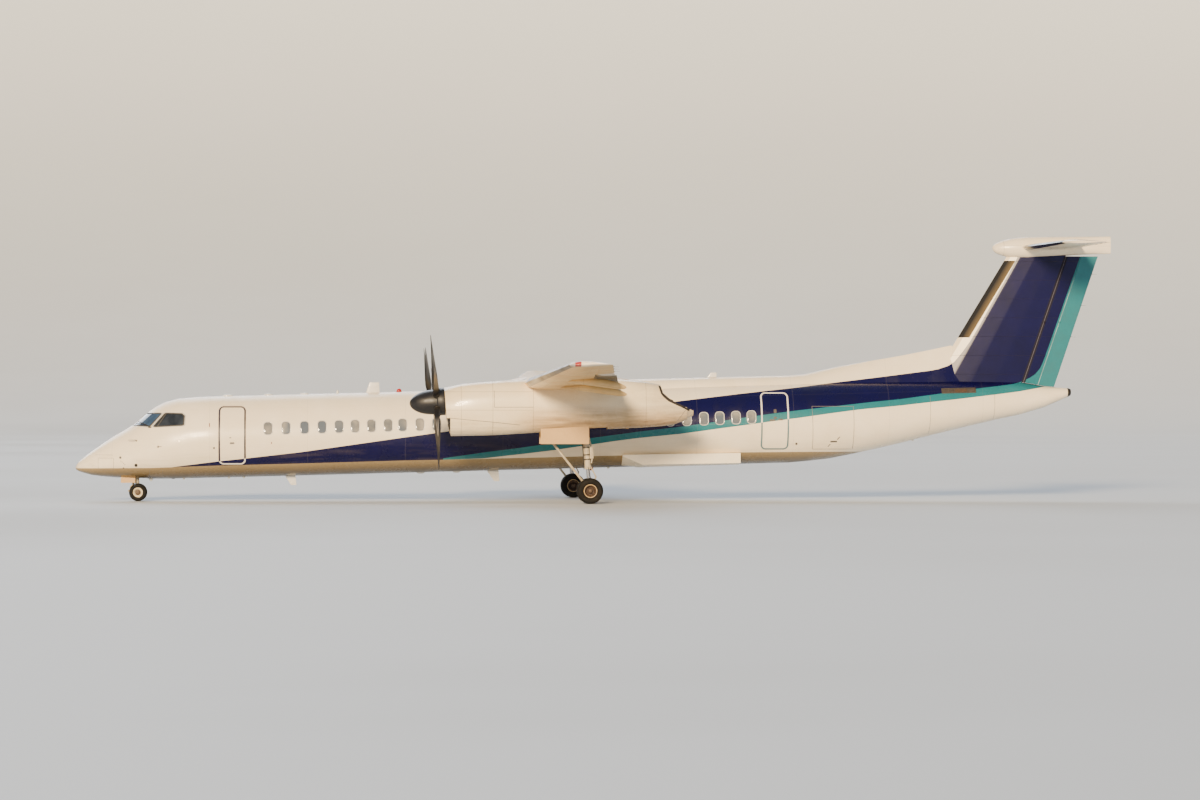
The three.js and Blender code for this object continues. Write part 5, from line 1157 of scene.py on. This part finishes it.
# Hoses and rods by height, place ahead of the leg and place across it
BRAKE_HOSE = ((1.13, 0.0, 0.11), (1.0, -0.02, 0.135), (0.75, -0.06, 0.12), (0.56, -0.05, 0.1),
              (0.47, 0.0, 0.1))
LEG_HOSES = (
    (0.008, ((2.3, 0.105, 0.03), (1.9, 0.108, 0.035), (1.5, 0.108, 0.03), (1.15, 0.112, 0.02),
             (1.05, 0.125, 0.02))),
    (0.007, ((2.3, 0.1, -0.05), (1.9, 0.103, -0.05), (1.5, 0.103, -0.045), (1.2, 0.11, -0.05))))
ACTUATOR_RODS = ((0.022, ((1.38, -0.155), (1.24, -0.12))), (0.028, ((1.74, -0.15), (2.02, -0.11))),
                 (0.03, ((1.22, -0.06), (1.22, 0.02))))
for name, side in SIDES:
    bright, dark, pipes, fittings = shapes(4)

    def at(height, ahead=0.0, across=0.0):
        down = (LEG_TOP - height) / (LEG_TOP - MAIN_RADIUS)
        return spot(LEG_STATION + down * (MAIN_AXLE - LEG_STATION) - ahead, side * MAIN_TRACK + across, height)

    bright.tube([at(1.055), at(0.47)], 0.0615, 32)
    for out in BOTH:
        dark.lathe(BRAKE, 40, facing_out(MAIN_AXLE, side * MAIN_TRACK, MAIN_RADIUS, out))
        pipes.tube([at(height, ahead, out * across) for height, ahead, across in BRAKE_HOSE], 0.009, 8)
    for low, high, radius in CLAMPS:
        dark.tube([at(low), at(high)], radius, 28)
    for radius, places in LEG_HOSES:
        pipes.tube([at(*place) for place in places], radius, 8)
    for radius, places in ACTUATOR_RODS:
        fittings.tube([at(*place) for place in places], radius, 14)
    fittings.block((0.055, 0.06, 0.19), at(1.57, -0.155), 0.012)
    bright.done(f"main_pistons_{name}", CHROME, "gear_steel")
    dark.done(f"main_brakes_{name}", GEAR_DARK, "dark_metal")
    pipes.done(f"main_hoses_{name}", HOSE, "black_paint")
    fittings.done(f"main_fittings_{name}", GEAR_PAINTED_SHADE, "gear_steel", sharp=50)

# Nose leg: bright piston, hoses and taxi lamp
STEER = 1.908
bright, pipes, case, lens = shapes(4)
bright.tube([spot(STEER, 0, 0.56), spot(STEER, 0, 0.36)], 0.0475, 28)
bright.done("nose_piston", CHROME, "gear_steel", "nose_steering")
for out in BOTH:
    rows = ((0.05, 0.055, 1.0), (0.062, 0.05, 0.8), (0.07, 0.045, 0.66))
    pipes.tube([spot(STEER + behind, out * across, z) for behind, across, z in rows], 0.006, 8)
pipes.done("nose_hoses", HOSE, "black_paint")
lamp = Matrix.Translation(spot(STEER - 0.13, 0, 0.605))
case.lathe([(0.0, 0.07), (0.03, 0.066), (0.055, 0.04), (0.062, 0.0), (0.062, -0.012), (0.056, -0.012)],
           28, lamp)
case.tube([spot(STEER - 0.075, 0, 0.6), spot(STEER - 0.04, 0, 0.6)], 0.02, 12)
case.done("taxi_lamp_case", GEAR_PAINTED_SHADE, "gear_steel", "nose_steering")
lens.lathe([(0.0, -0.022), (0.03, -0.019), (0.058, -0.006), (0.058, 0.0), (0.0, 0.0)], 28, lamp)
lens.done("taxi_lamp_lens", LAMP, "glazing", "nose_steering")


# Floor that rises into a pale wall all round, and soft light

FLOOR, RIM, WALL, WALL_STEPS = 330.0, 560.0, 95.0, 14
rows = [(FLOOR * part, 0.0) for part in (0.15, 0.45, 1.0)]
for step in range(1, WALL_STEPS + 1):
    turn = pi / 2 * step / WALL_STEPS
    rows.append((FLOOR + (RIM - FLOOR) * sin(turn), WALL * (1 - cos(turn))))
sheet = Shape().mesh
rings = [[sheet.verts.new((*part, z)) for part in circle(96, radius)] for radius, z in rows]
sheet.faces.new(rings[0])
for low, high in zip(rings, rings[1:]):
    for i in range(len(low)):
        sheet.faces.new((low[i], low[i - 1], high[i - 1], high[i]))
bmesh.ops.recalc_face_normals(sheet, faces=sheet.faces)
floor = bpy.data.meshes.new("studio_floor")
sheet.to_mesh(floor)
sheet.free()
floor.shade_smooth()
pale = plain_paint("studio_pale", 0xd3d9df, 0xcfd5db, (0.7, 0.9), 0.0, scale=0.02)
floor.materials.append(pale)
bowl = bpy.data.objects.new("studio_floor", floor)
bpy.context.collection.objects.link(bowl)
bowl.location.z = -0.002

for name, turn, energy, angle, colour in (("key_light", (74, 0, -14), 7.2, 11, (1.0, 0.76, 0.47)),
                                          ("fill_light", (-58, 0, 15), 2.3, 45, (0.88, 0.93, 1.0))):
    light = bpy.data.lights.new(name, "SUN")
    light.energy = energy
    light.angle = radians(angle)
    light.color = colour
    holder = bpy.data.objects.new(name, light)
    holder.rotation_euler = [radians(part) for part in turn]
    bpy.context.collection.objects.link(holder)

world = bpy.data.worlds.new("studio")
bpy.context.scene.world = world
world.use_nodes = True
background = world.node_tree.nodes["Background"].inputs
background["Color"].default_value = (0.78, 0.87, 1.0, 1.0)
background["Strength"].default_value = 0.36
